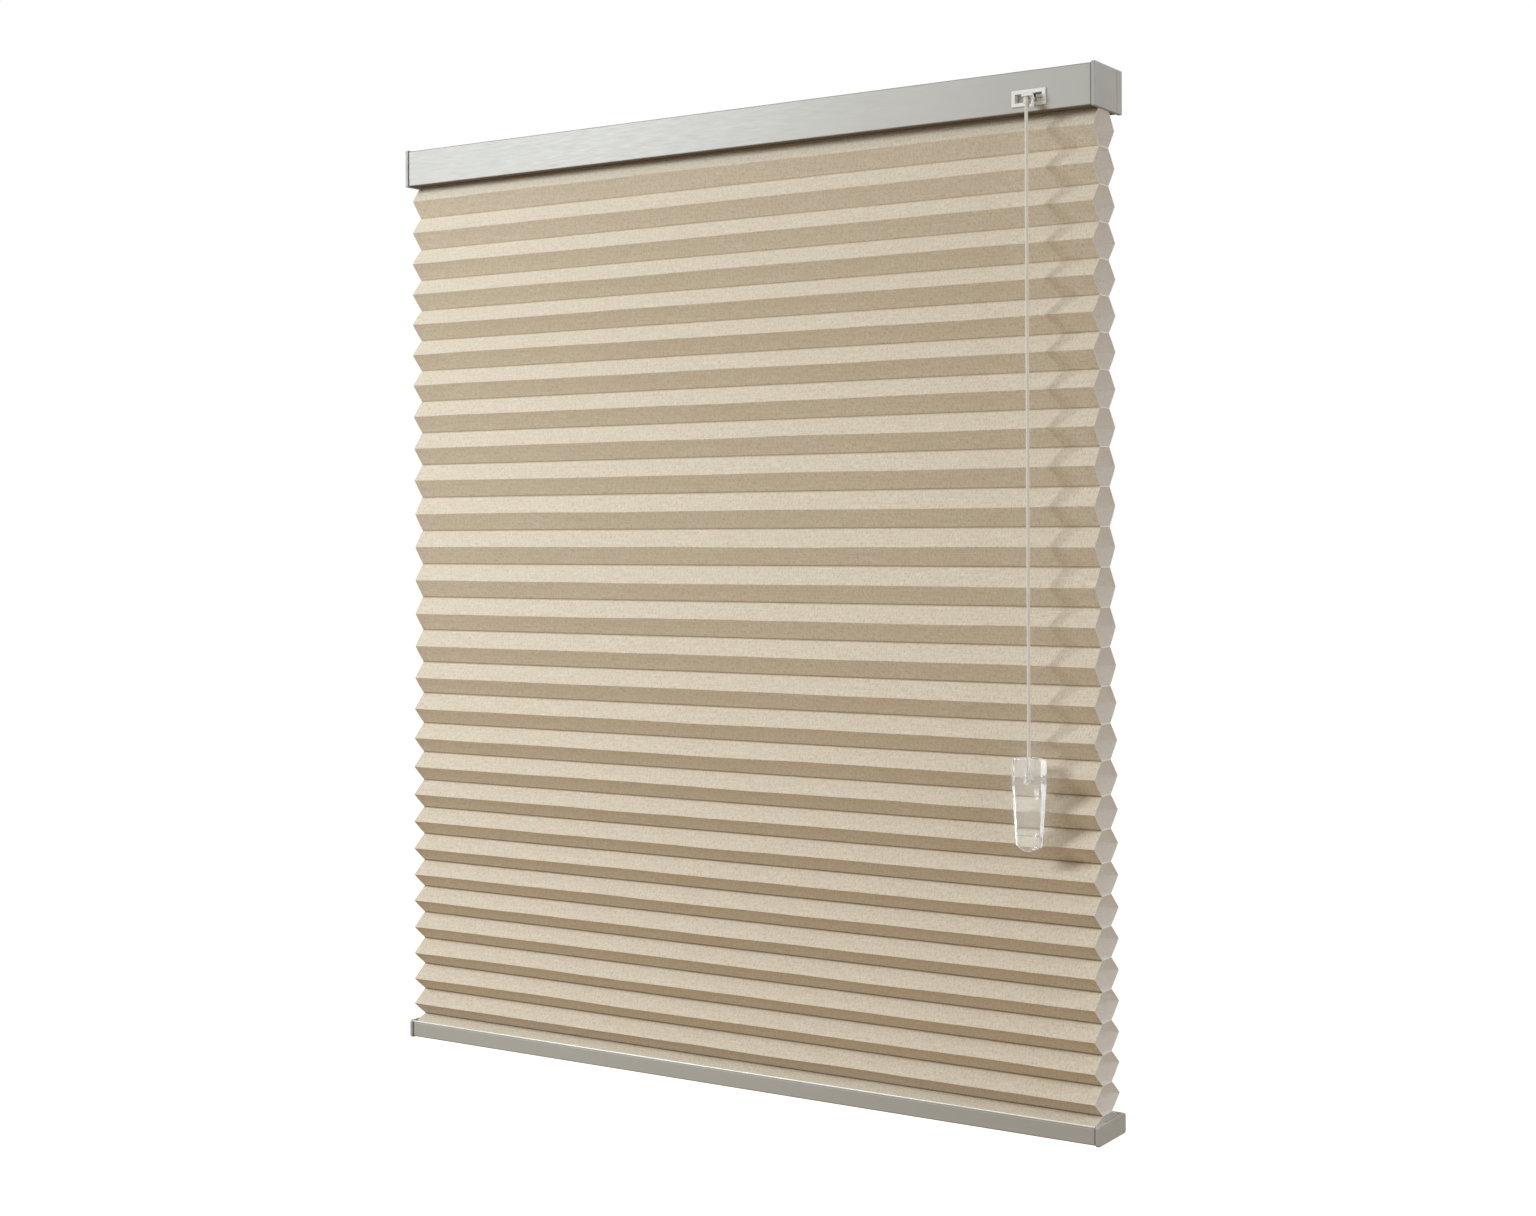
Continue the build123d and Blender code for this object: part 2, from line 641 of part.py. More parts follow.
# A clear wedge-shaped grip: a broad head with a waist below it, tapering to a round toe.
handle_bottom_z = handle_top_z - handle_height
waist_z = handle_top_z - handle_head
with BuildPart() as pull_handle:
    with BuildSketch(Plane.XZ.offset(-pull_cord_y - handle_top_thickness)) as handle_front:
        with BuildLine():
            toe_left = (pull_cord_x - handle_bottom_width / 2, handle_bottom_z + handle_toe_sagitta)
            toe_right = (pull_cord_x + handle_bottom_width / 2, handle_bottom_z + handle_toe_sagitta)
            Polyline(
                toe_left,
                (pull_cord_x - handle_top_width / 2, waist_z),
                (pull_cord_x - handle_top_width / 2, handle_top_z),
                (pull_cord_x + handle_top_width / 2, handle_top_z),
                (pull_cord_x + handle_top_width / 2, waist_z),
                toe_right,
            )
            ThreePointArc(toe_right, (pull_cord_x, handle_bottom_z), toe_left)
        make_face()
        fillet(handle_front.vertices().group_by(Axis.Y)[-1], handle_shoulder_radius)
    extrude(amount=2 * handle_top_thickness)
    with BuildSketch(Plane.YZ.offset(pull_cord_x - handle_top_width)):
        with BuildLine():
            Polyline(
                (pull_cord_y - handle_bottom_thickness / 2, handle_bottom_z - cut_over),
                (pull_cord_y - handle_neck_thickness / 2, waist_z - waist_below),
                (pull_cord_y - handle_top_thickness / 2, waist_z + waist_above),
                (pull_cord_y - handle_top_thickness / 2, handle_top_z + cut_over),
                (pull_cord_y + handle_top_thickness / 2, handle_top_z + cut_over),
                (pull_cord_y + handle_top_thickness / 2, waist_z + waist_above),
                (pull_cord_y + handle_neck_thickness / 2, waist_z - waist_below),
                (pull_cord_y + handle_bottom_thickness / 2, handle_bottom_z - cut_over),
                close=True,
            )
        make_face()
    extrude(amount=2 * handle_top_width, mode=Mode.INTERSECT)
    fillet(pull_handle.edges(), handle_edge_radius)
    with Locations((pull_cord_x, pull_cord_y, handle_top_z - knot_depth / 2)):
        Cylinder(pull_cord_radius + handle_bore_clearance, knot_depth + 2 * cut_over, mode=Mode.SUBTRACT)
    pocket_front_y = pull_cord_y - handle_top_thickness / 2 + knot_pocket_floor
    with BuildSketch(Plane.XZ.offset(-pocket_front_y)):
        with Locations((pull_cord_x, knot_z)):
            Circle(knot_radius + knot_pocket_clearance)
    extrude(amount=-handle_top_thickness, mode=Mode.SUBTRACT)
export(pull_handle, "pull_handle")

# ================================================================ honeycomb fabric
# Each cell is six-sided: four equal panels between two glued strips. The last half cell
# spreads to the lips of the bottom rail and folds back to a glued strip inside it.


def cell_points(top_z, fold_z, low_z, reach, wall, top_wall, low_wall):
    """Corners of one cell, drawn in by its wall; walls of 0 give its outside."""
    land = fabric_land / 2
    upper = fold_z - top_z
    lower = fold_z - low_z
    spread = reach - land
    upper_shift = wall * sqrt(upper**2 + spread**2) / abs(upper)
    lower_shift = wall * sqrt(lower**2 + spread**2) / abs(lower)
    top_reach = land + spread * top_wall / abs(upper) - upper_shift
    low_reach = land + spread * low_wall / abs(lower) - lower_shift
    rate_up = spread / abs(upper)
    rate_down = spread / abs(lower)
    inner_fold_z = fold_z + (lower_shift - upper_shift) / (rate_up + rate_down)
    fold_reach = reach - upper_shift - rate_up * (inner_fold_z - fold_z)
    return [
        (top_reach, top_z - top_wall),
        (fold_reach, inner_fold_z),
        (low_reach, low_z + low_wall),
        (-low_reach, low_z + low_wall),
        (-fold_reach, inner_fold_z),
        (-top_reach, top_z - top_wall),
    ]


cells = []
for top_z, low_z in zip(glue_line_z[:-1], glue_line_z[1:]):
    half_pitch = (top_z - low_z) / 2
    reach = fabric_land / 2 + sqrt(fabric_panel**2 - half_pitch**2)
    cells.append((top_z, top_z - half_pitch, low_z, reach))
cells.append((fabric_end_z, last_fold_z, last_land_z, last_panel_reach))

with BuildPart() as honeycomb_fabric:
    with BuildSketch(Plane.YZ.offset(-fabric_width / 2)):
        for cell in cells:
            with BuildLine():
                Polyline(*cell_points(*cell, 0, 0, 0), close=True)
            make_face()
        for number, cell in enumerate(cells):
            top_wall = fabric_wall if number == 0 else fabric_wall / 2
            low_wall = fabric_wall if number == fabric_cells else fabric_wall / 2
            with BuildLine():
                Polyline(*cell_points(*cell, fabric_wall, top_wall, low_wall), close=True)
            make_face(mode=Mode.SUBTRACT)
    extrude(amount=fabric_width)
    for x in (-lift_cord_x, lift_cord_x):
        with BuildSketch(Plane.XY.offset(fabric_top_z + cut_over)):
            with Locations((x, 0)):
                Circle(lift_cord_hole_radius)
        extrude(amount=last_land_z - fabric_top_z - 2 * cut_over, mode=Mode.SUBTRACT)
export(honeycomb_fabric, "honeycomb_fabric")


def lift_cord(x):
    """Thin cord hanging from its spool through the cells to a stop in the bottom rail."""
    with BuildPart() as cord:
        with BuildSketch(Plane.XY.offset(shaft_z)):
            with Locations((x, 0)):
                Circle(lift_cord_radius)
        extrude(amount=stop_z + 2 * stop_radius - shaft_z)
    return cord


# ================================================================ bottom rail
# An open-topped aluminium tray with end caps; the fabric strip lies in it over a steel bar.
def cord_stop(x):
    """Moulded bead that the lift cord is tied to, below the fabric strip."""
    with BuildPart() as stop:
        with Locations((x, 0, stop_z + stop_radius)):
            Cylinder(stop_radius, 2 * stop_radius)
        fillet(stop.edges().filter_by(GeomType.CIRCLE).group_by(Axis.Z)[0], stop_radius / 3)
    return stop


for word, x in cradle_x.items():
    cord = lift_cord(x)
    export(cord, f"lift_cord_{word}")
    stop = cord_stop(x)
    export(stop, f"lift_cord_stop_{word}")

with BuildPart() as bottom_rail:
    with BuildSketch(Plane.YZ.offset(-rail_half_length)) as rail_section:
        with Locations((0, rail_middle_z)):
            Rectangle(rail_depth, rail_height)
        fillet(rail_section.vertices().group_by(Axis.Y)[-1], rail_radius)
        fillet(rail_section.vertices().group_by(Axis.Y)[0], rail_bottom_radius)
        with Locations((0, rail_middle_z)):
            Rectangle(rail_depth - 2 * rail_wall, rail_height - 2 * rail_wall, mode=Mode.SUBTRACT)
        with Locations((0, rail_top_z)):
            Rectangle(rail_depth - 2 * rail_lip, 4 * rail_wall, mode=Mode.SUBTRACT)
    extrude(amount=2 * rail_half_length)
export(bottom_rail, "bottom_rail")


def bottom_rail_cap(side):
    """Grey moulded end plate with a low plug inside the tray; side is -1 left, +1 right."""
    plug_y = rail_depth - 2 * rail_wall - 2 * cap_plug_clearance
    plug_height = ballast_thickness
    with BuildPart() as cap:
        with BuildSketch(Plane.YZ.offset(side * rail_half_length)):
            with Locations((0, rail_middle_z)):
                RectangleRounded(rail_depth + 2 * cap_proud, rail_height + 2 * cap_proud, rail_radius)
        extrude(amount=side * cap_thickness)
        outer = cap.faces().sort_by(Axis.X)[-1 if side > 0 else 0]
        fillet(outer.edges(), cap_edge_radius)
        with BuildSketch(Plane.YZ.offset(side * rail_half_length)):
            with Locations((0, rail_floor_z + cap_plug_clearance + plug_height / 2)):
                Rectangle(plug_y, plug_height)
                Rectangle(plug_y - 2 * cap_plug_wall, plug_height - 2 * cap_plug_wall, mode=Mode.SUBTRACT)
        extrude(amount=-side * cap_plug_length)
    return cap


for side, word in ((-1, "left"), (1, "right")):
    cap = bottom_rail_cap(side)
    export(cap, f"bottom_rail_cap_{word}")

with BuildPart() as fabric_bottom_strip:
    with Locations((0, 0, last_land_z - strip_thickness / 2)):
        Box(fabric_width, strip_width, strip_thickness)
    with Locations((-lift_cord_x, 0, last_land_z), (lift_cord_x, 0, last_land_z)):
        Cylinder(lift_cord_hole_radius, 4 * strip_thickness, mode=Mode.SUBTRACT)
export(fabric_bottom_strip, "fabric_bottom_strip")

with BuildPart() as ballast_bar:
    ballast_y = ballast_width / 2 + 2 * stop_radius    # clear of the cord stops
    ballast_z = rail_floor_z + ballast_thickness / 2
    with Locations((0, ballast_y, ballast_z)):
        Box(2 * (rail_half_length - ballast_end_gap), ballast_width, ballast_thickness)
export(ballast_bar, "ballast_bar")
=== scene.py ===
import json
import math
from functools import partial

import bmesh
import bpy
from mathutils import Matrix, Vector


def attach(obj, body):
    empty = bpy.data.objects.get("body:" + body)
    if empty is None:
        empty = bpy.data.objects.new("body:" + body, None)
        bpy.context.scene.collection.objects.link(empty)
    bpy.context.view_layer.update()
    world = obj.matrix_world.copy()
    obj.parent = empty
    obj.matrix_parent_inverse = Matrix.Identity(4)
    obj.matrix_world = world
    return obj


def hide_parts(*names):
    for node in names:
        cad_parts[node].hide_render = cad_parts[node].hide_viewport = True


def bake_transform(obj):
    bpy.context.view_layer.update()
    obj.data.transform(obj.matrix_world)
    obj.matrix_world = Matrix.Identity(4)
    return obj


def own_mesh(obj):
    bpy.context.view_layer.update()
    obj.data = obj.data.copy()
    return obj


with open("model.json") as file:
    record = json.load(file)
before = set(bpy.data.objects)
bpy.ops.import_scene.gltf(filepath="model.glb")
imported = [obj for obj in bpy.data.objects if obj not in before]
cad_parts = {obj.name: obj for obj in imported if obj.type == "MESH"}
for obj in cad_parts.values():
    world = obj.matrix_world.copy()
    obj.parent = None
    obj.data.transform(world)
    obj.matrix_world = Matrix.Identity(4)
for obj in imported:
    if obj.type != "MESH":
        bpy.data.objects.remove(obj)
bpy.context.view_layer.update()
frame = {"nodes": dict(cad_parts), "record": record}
cadNodes = frame["nodes"]
print("frame loaded:", len(cadNodes), "nodes")


# helpers for meshes

def between(first, second, share):
    return first + share * (second - first)


def addObject(name, data):
    piece = bpy.data.objects.new(name, data)
    bpy.context.scene.collection.objects.link(piece)
    return piece


def addMesh(name, points, faces):
    mesh = bpy.data.meshes.new(name)
    mesh.from_pydata(points, (), faces)
    mesh.update()
    return addObject(name, mesh)


def evaluatedMesh(piece):
    bpy.context.view_layer.update()
    depsgraph = bpy.context.evaluated_depsgraph_get()
    return bpy.data.meshes.new_from_object(piece.evaluated_get(depsgraph), depsgraph=depsgraph)


def bakeModifiers(piece):
    # the evaluated result becomes a plain mesh and the modifiers go
    mesh = evaluatedMesh(piece)
    piece.modifiers.clear()
    piece.data = mesh
    return piece


def softenEdges(piece, width, segments, angle):
    soften = piece.modifiers.new("soft edges", "BEVEL")
    soften.width = width
    soften.segments = segments
    soften.limit_method = "ANGLE"
    soften.angle_limit = math.radians(angle)
    bakeModifiers(piece)


def smoothFaces(piece, sharpAngle):
    piece.data.shade_smooth()
    piece.data.set_sharp_from_angle(angle=math.radians(sharpAngle))


def tubeAround(name, line, radius, sides, closed=False, sharpAngle=50):
    # a round tube along points, with the rings turned as little as possible
    points, faces, tangents = [], [], []
    count = len(line)
    for index in range(count):
        before = line[index - 1] if closed or index > 0 else line[index]
        after = line[(index + 1) % count] if closed or index < count - 1 else line[index]
        tangents.append((after - before).normalized())
    side = tangents[0].orthogonal().normalized()
    for index in range(count):
        side = (side - tangents[index] * side.dot(tangents[index])).normalized()
        other = tangents[index].cross(side)
        for corner in range(sides):
            turn = 2 * math.pi * corner / sides
            points.append(line[index] + radius * (math.cos(turn) * side + math.sin(turn) * other))
    for index in range(count if closed else count - 1):
        below, above = index * sides, ((index + 1) % count) * sides
        shift = 0
        if closed and index == count - 1:
            # meet the first ring at its nearest corner, so the tube isn't pinched where it closes
            shift = min(range(sides), key=lambda s: (points[below] - points[s]).length)
        for corner in range(sides):
            following = (corner + 1) % sides
            faces.append((
                below + corner, below + following,
                above + (following + shift) % sides, above + (corner + shift) % sides,
            ))
    if not closed:
        faces.append(tuple(reversed(range(sides))))
        faces.append(tuple(range((count - 1) * sides, count * sides)))
    piece = addMesh(name, points, faces)
    smoothFaces(piece, sharpAngle)
    return piece


# helpers for node trees

def feed(tree, socket, value):
    if isinstance(value, bpy.types.Node):
        value = value.outputs[0]
    if isinstance(value, bpy.types.NodeSocket):
        tree.links.new(value, socket)
    else:
        socket.default_value = value


def addNode(tree, kind, inputs=None, **settings):
    node = tree.nodes.new(kind)
    for key, value in settings.items():
        setattr(node, key, value)
    for key, value in (inputs or {}).items():
        feed(tree, node.inputs[key], value)
    return node


def calc(tree, operation, *values):
    inputs = dict(enumerate(values))
    return addNode(tree, "ShaderNodeMath", inputs, operation=operation).outputs[0]


def arithmetic(tree):
    # the sums that a tree uses most, each as a short word
    return [partial(calc, tree, kind) for kind in ("ADD", "SUBTRACT", "MULTIPLY", "DIVIDE")]


def vectorCalc(tree, operation, first, second):
    inputs = {0: first, "Scale" if operation == "SCALE" else 1: second}
    return addNode(tree, "ShaderNodeVectorMath", inputs, operation=operation).outputs[0]


def splitVector(tree, vector):
    return addNode(tree, "ShaderNodeSeparateXYZ", {0: vector}).outputs


def joinVector(tree, x, y=0.0, z=0.0):
    return addNode(tree, "ShaderNodeCombineXYZ", {0: x, 1: y, 2: z}).outputs[0]


def rescale(tree, value, fromLow=0.0, fromHigh=1.0, toLow=0.0, toHigh=1.0, kind="LINEAR"):
    return addNode(tree, "ShaderNodeMapRange", {
        "Value": value, "From Min": fromLow, "From Max": fromHigh, "To Min": toLow, "To Max": toHigh,
    }, interpolation_type=kind).outputs[0]


def socketLabel(key):
    # pitchWave becomes Pitch Wave
    return "".join(" " + letter if letter.isupper() else letter for letter in key).title()


def newGeometryTree(name, sizes):
    # one named input for each size
    tree = bpy.data.node_groups.new(name, "GeometryNodeTree")
    kinds = {"Geometry": "NodeSocketGeometry"}
    for key, value in sizes.items():
        kinds[socketLabel(key)] = "NodeSocketInt" if isinstance(value, int) else "NodeSocketFloat"
    kinds["Finish"] = "NodeSocketMaterial"
    for label, kind in kinds.items():
        tree.interface.new_socket(label, in_out="INPUT", socket_type=kind)
    tree.interface.new_socket("Geometry", in_out="OUTPUT", socket_type="NodeSocketGeometry")
    return tree, addNode(tree, "NodeGroupInput").outputs


def endGeometryTree(tree, geometry, finish):
    real = addNode(tree, "GeometryNodeRealizeInstances", {0: geometry})
    finished = addNode(tree, "GeometryNodeSetMaterial", {"Geometry": real, "Material": finish})
    addNode(tree, "NodeGroupOutput", {0: finished})
    return tree


def runTree(piece, tree, sizes, finish):
    values = {socketLabel(key): value for key, value in sizes.items()}
    values["Finish"] = finish
    modifier = piece.modifiers.new(tree.name, "NODES")
    modifier.node_group = tree
    for item in tree.interface.items_tree:
        if item.item_type == "SOCKET" and item.in_out == "INPUT" and item.name in values:
            modifier[item.identifier] = values[item.name]
    return bakeModifiers(piece)


# shared effects for the materials

def newShaderGroup(name, inputs, outputs):
    tree = bpy.data.node_groups.new(name, "ShaderNodeTree")
    for label, standard in inputs.items():
        kind = "NodeSocketVector" if isinstance(standard, tuple) else "NodeSocketFloat"
        socket = tree.interface.new_socket(label, in_out="INPUT", socket_type=kind)
        socket.default_value = standard
    for label in outputs:
        tree.interface.new_socket(label, in_out="OUTPUT", socket_type="NodeSocketFloat")
    return tree, addNode(tree, "NodeGroupInput").outputs, addNode(tree, "NodeGroupOutput").inputs


def facingUp(tree):
    return splitVector(tree, addNode(tree, "ShaderNodeNewGeometry").outputs["Normal"])[2]


def makeFineGrain():
    # noise stretched along one direction: brushing on metal, texture on plastic, fibres in cloth
    tree, given, result = newShaderGroup("fineGrain", {
        "Vector": (0, 0, 0), "Stretch": (1, 1, 1), "Scale": 500.0, "Detail": 3.0,
        "Low": 0.35, "High": 0.65,
    }, ("Mask", "Height"))
    noise = addNode(tree, "ShaderNodeTexNoise", {
        "Vector": vectorCalc(tree, "MULTIPLY", given["Vector"], given["Stretch"]),
        "Scale": given["Scale"], "Detail": given["Detail"], "Roughness": 0.55,
    }).outputs[0]
    feed(tree, result["Mask"], rescale(tree, noise, given["Low"], given["High"]))
    feed(tree, result["Height"], noise)
    return tree


def makeSoftDust():
    # a thin uneven film of dust on what faces up
    tree, given, result = newShaderGroup("softDust", {
        "Vector": (0, 0, 0), "Amount": 0.2, "Scale": 60.0, "Low": 0.3, "High": 0.75,
    }, ("Mask",))
    noise = addNode(tree, "ShaderNodeTexNoise", {
        "Vector": given["Vector"], "Scale": given["Scale"], "Detail": 5.0,
    }).outputs[0]
    patchy = rescale(tree, noise, given["Low"], given["High"])
    lying = calc(tree, "MULTIPLY", calc(tree, "MAXIMUM", facingUp(tree), 0.0), patchy)
    feed(tree, result["Mask"], calc(tree, "MULTIPLY", lying, given["Amount"]))
    return tree


fineGrain = makeFineGrain()
softDust = makeSoftDust()


def useGroup(tree, group, inputs):
    node = tree.nodes.new("ShaderNodeGroup")
    node.node_tree = group
    for key, value in inputs.items():
        feed(tree, node.inputs[key], value)
    return node.outputs


def mixColour(tree, factor, first, second):
    inputs = {0: factor, 6: first, 7: second}  # the mix node's sockets for colours
    return addNode(tree, "ShaderNodeMix", inputs, data_type="RGBA").outputs[2]


def tint(tree, colour, mask, strength, other):
    return mixColour(tree, calc(tree, "MULTIPLY", mask, strength), colour, other)


def bump(tree, height, depth, strength=1.0):
    return addNode(tree, "ShaderNodeBump", {
        "Strength": strength, "Distance": depth, "Height": height,
    })


def newMaterial(name):
    material = bpy.data.materials.new(name)
    material.use_nodes = True
    tree = material.node_tree
    return material, tree, tree.nodes["Principled BSDF"]


def objectPlace(tree):
    return addNode(tree, "ShaderNodeTexCoord").outputs["Object"]


def setShader(tree, shader, values):
    for key, value in values.items():
        feed(tree, shader.inputs[key], value)


# a plastic or metal finish: two close colours, grain in the roughness and bump, and dust on top; on the
# rails also painted shade below them, along their edges and at their joints

plainLook = dict(
    metallic=0.0, stretch=(1, 1, 1), detail=2.0, depth=0.00002, cloudStretch=(1, 1, 1),
    coat=0.0, coatRoughness=0.2, dustColour=(0.62, 0.6, 0.57, 1),
)
# each finish names what differs from the plain look
finishLooks = {
    "rail_aluminium": dict(
        colour=(0.42, 0.415, 0.398, 1), otherColour=(0.45, 0.445, 0.428, 1), metallic=0.06,
        roughness=(0.42, 0.54), stretch=(0.02, 1, 1), scale=2600.0, depth=0.00001,
        cloudStretch=(0.3, 1, 1), cloudScale=9.0, dust=0.14, coat=0.05, coatRoughness=0.3,
        # the faces below, the thin lines along the edges and the joint line are painted shade
        under=0.85, underColour=(0.13, 0.1, 0.07, 1),
        paintedEdgeShadeLines=((-0.0367, 0.7), (-0.0007, 0.4), (-0.9449, 0.4)), paintedEdgeShadeReach=0.0004,
        seam=0.3958, seamReach=0.0008, seamStrength=0.85, seamShadeColour=(0.08, 0.08, 0.075, 1),
    ),
    # a near-white finish whose colour is a painted highlight on the bottom rail's edges
    "rail_lip": dict(
        colour=(0.9, 0.9, 0.89, 1), otherColour=(0.8, 0.8, 0.79, 1), metallic=0.1,
        roughness=(0.2, 0.34), stretch=(0.02, 1, 1), scale=2600.0, depth=0.00001,
        cloudStretch=(0.3, 1, 1), cloudScale=30.0, dust=0.1,
    ),
    "cap_plastic": dict(
        colour=(0.39, 0.385, 0.38, 1), otherColour=(0.42, 0.415, 0.41, 1),
        roughness=(0.42, 0.6), scale=3200.0, cloudScale=35.0, dust=0.25,
    ),
    "strip_plastic": dict(
        colour=(0.72, 0.71, 0.68, 1), otherColour=(0.67, 0.66, 0.63, 1),
        roughness=(0.4, 0.55), stretch=(0.1, 1, 1), scale=900.0,
        cloudStretch=(0.2, 1, 1), cloudScale=25.0, dust=0.3,
    ),
    "outlet_plastic": dict(
        colour=(0.82, 0.825, 0.82, 1), otherColour=(0.86, 0.86, 0.85, 1),
        roughness=(0.22, 0.36), scale=2400.0, depth=0.000008, cloudScale=90.0, dust=0.15,
    ),
    "mechanism_plastic": dict(
        colour=(0.8, 0.79, 0.76, 1), otherColour=(0.74, 0.73, 0.7, 1),
        roughness=(0.3, 0.5), scale=1500.0, cloudScale=60.0, dust=0.2,
    ),
    "steel": dict(
        colour=(0.5, 0.5, 0.5, 1), otherColour=(0.4, 0.4, 0.41, 1), metallic=1.0,
        roughness=(0.25, 0.4), stretch=(0.05, 1, 1), scale=1800.0, depth=0.00001,
        cloudStretch=(0.3, 1, 1), cloudScale=40.0, dust=0.2,
    ),
}


def mouldedFinish(name, look):
    material, tree, shader = newMaterial(name)
    place = objectPlace(tree)
    grain = useGroup(tree, fineGrain, {
        "Vector": place, "Stretch": look["stretch"], "Scale": look["scale"], "Detail": look["detail"],
    })
    cloud = useGroup(tree, fineGrain, {
        "Vector": place, "Stretch": look["cloudStretch"], "Scale": look["cloudScale"],
    })
    dust = useGroup(tree, softDust, {"Vector": place, "Amount": look["dust"]})
    colour = mixColour(tree, cloud["Mask"], look["colour"], look["otherColour"])
    colour = mixColour(tree, dust["Mask"], colour, look["dustColour"])
    if "under" in look:
        # painted shade and painted reflection: the faces that point down are darkened towards the brown
        # of the cloth below them
        downward = calc(tree, "MULTIPLY", facingUp(tree), -look["under"])
        colour = mixColour(tree, calc(tree, "MAXIMUM", downward, 0.0), colour, look["underColour"])
    for shadeHeight, strength in look.get("paintedEdgeShadeLines", ()):
        # painted shade: thin dark lines along the edges of the rails, each at its own height, stand in
        # for the shade where the rounded edges turn from the light
        line = calc(tree, "COMPARE", splitVector(tree, place)[2], shadeHeight, look["paintedEdgeShadeReach"])
        colour = tint(tree, colour, line, strength, look["underColour"])
    if "seam" in look:
        # painted shade: a thin dark line where the rail meets its end cap stands in for the shadow in
        # the joint
        outward = calc(tree, "ABSOLUTE", splitVector(tree, place)[0])
        seam = calc(tree, "COMPARE", outward, look["seam"], look["seamReach"])
        colour = tint(tree, colour, seam, look["seamStrength"], look["seamShadeColour"])
    setShader(tree, shader, {
        "Base Color": colour,
        "Roughness": rescale(tree, grain["Mask"], 0.0, 1.0, *look["roughness"]),
        "Metallic": look["metallic"],
        "Coat Weight": look["coat"],
        "Coat Roughness": look["coatRoughness"],
        "Normal": bump(tree, grain["Height"], look["depth"]),
    })
    return material


finishes = {slot: mouldedFinish(slot, {**plainLook, **look}) for slot, look in finishLooks.items()}


# yarn of the cords, soiled here and there

yarnLook = dict(
    stretch=(1, 1, 0.25), detail=4.0, soilScale=30.0, soilLow=0.4, soilHigh=0.8,
    roughness=(0.85, 0.6), sheen=0.3, sheenRoughness=0.4,
)
cordLooks = {
    "pull_cord": dict(
        colour=(0.86, 0.845, 0.8, 1), shade=(0.66, 0.645, 0.6, 1), scale=4200.0, depth=0.00006,
        soil=0.25, soilColour=(0.6, 0.56, 0.48, 1),
    ),
    "lift_cord": dict(
        colour=(0.84, 0.82, 0.76, 1), shade=(0.62, 0.6, 0.55, 1), scale=5200.0, depth=0.00005,
        soil=0.2, soilColour=(0.55, 0.52, 0.45, 1),
    ),
}


def cordFinish(name, look):
    material, tree, shader = newMaterial(name)
    place = objectPlace(tree)
    yarn = useGroup(tree, fineGrain, {
        "Vector": place, "Stretch": look["stretch"], "Scale": look["scale"], "Detail": look["detail"],
    })
    soil = useGroup(tree, fineGrain, {
        "Vector": place, "Scale": look["soilScale"], "Low": look["soilLow"], "High": look["soilHigh"],
    })
    colour = mixColour(tree, yarn["Mask"], look["shade"], look["colour"])
    setShader(tree, shader, {
        "Base Color": tint(tree, colour, soil["Mask"], look["soil"], look["soilColour"]),
        "Roughness": rescale(tree, yarn["Mask"], 0.0, 1.0, *look["roughness"]),
        "Sheen Weight": look["sheen"],
        "Sheen Roughness": look["sheenRoughness"],
        "Normal": bump(tree, yarn["Height"], look["depth"]),
    })
    return material


for slot, look in cordLooks.items():
    finishes[slot] = cordFinish(slot, {**yarnLook, **look})


# clear acrylic of the grip, with fine upright scuffs

acrylicLook = dict(
    colour=(0.96, 0.975, 0.975, 1), clear=0.84, bending=1.49, roughness=(0.03, 0.2),
    scuffStretch=(1, 1, 0.08), scuffScale=700.0, scuffDetail=3.0, scuffLow=0.58, scuffHigh=0.8,
    depth=0.00001, bump=0.4,
)


def clearAcrylicFinish(look):
    material, tree, shader = newMaterial("clear_acrylic")
    scuffs = useGroup(tree, fineGrain, {
        "Vector": objectPlace(tree), "Stretch": look["scuffStretch"], "Scale": look["scuffScale"],
        "Detail": look["scuffDetail"], "Low": look["scuffLow"], "High": look["scuffHigh"],
    })
    setShader(tree, shader, {
        "Base Color": look["colour"],
        "Transmission Weight": look["clear"],
        "IOR": look["bending"],
        "Roughness": rescale(tree, scuffs["Mask"], 0.0, 1.0, *look["roughness"]),
        "Normal": bump(tree, scuffs["Height"], look["depth"], look["bump"]),
    })
    return material


finishes["clear_acrylic"] = clearAcrylicFinish(acrylicLook)


# cloth of the cells: a beige face of fine crossed fibres with thicker slubs and painted shade in the
# valleys, and a plain white back with a faint painted glow

clothLook = dict(
    colour=(0.8, 0.74, 0.634, 1), thread=(0.62, 0.544, 0.434, 1), slub=(0.87, 0.835, 0.76, 1),
    cloud=(0.7, 0.63, 0.514, 1), back=(0.79, 0.765, 0.73, 1), backShade=(0.69, 0.665, 0.635, 1),
    streak=(0.5, 0.405, 0.29, 1), valleyShade=(0.25, 0.165, 0.095, 1),
    slubStrength=0.55, cloudStrength=0.4, streakStrength=0.3, uprightStrength=0.55,
    valleyWidth=0.085, valleyStrength=0.9, looseZ=-0.12, tightZ=-0.75, looseValley=0.35,
    weaveRelief=0.35, slubRelief=0.3, crinkleRelief=0.6, depth=0.00022,
    roughness=(0.92, 0.78), sheen=0.12, sheenRoughness=0.5, specular=0.25,
    backPaintedGlow=0.1, glowColour=(1.0, 0.93, 0.85, 1),
)
# stretch, scale and detail of each pattern, and the part of its noise that counts
clothGrains = {
    "along": ((0.06, 1, 1), 1300.0, 3.0, 0.38, 0.62),
    "across": ((1, 0.09, 1), 1300.0, 3.0, 0.38, 0.62),
    "slubs": ((0.035, 1, 1), 800.0, 2.0, 0.58, 0.74),
    "clouds": ((0.5, 1, 1), 55.0, 4.0, 0.3, 0.7),
    "streaks": ((0.05, 1, 1), 420.0, 3.0, 0.45, 0.72),
    "upright": ((1, 0.34, 1), 640.0, 5.0, 0.48, 0.64),
    "crinkle": ((0.7, 1, 1), 620.0, 5.0, 0.35, 0.65),
}


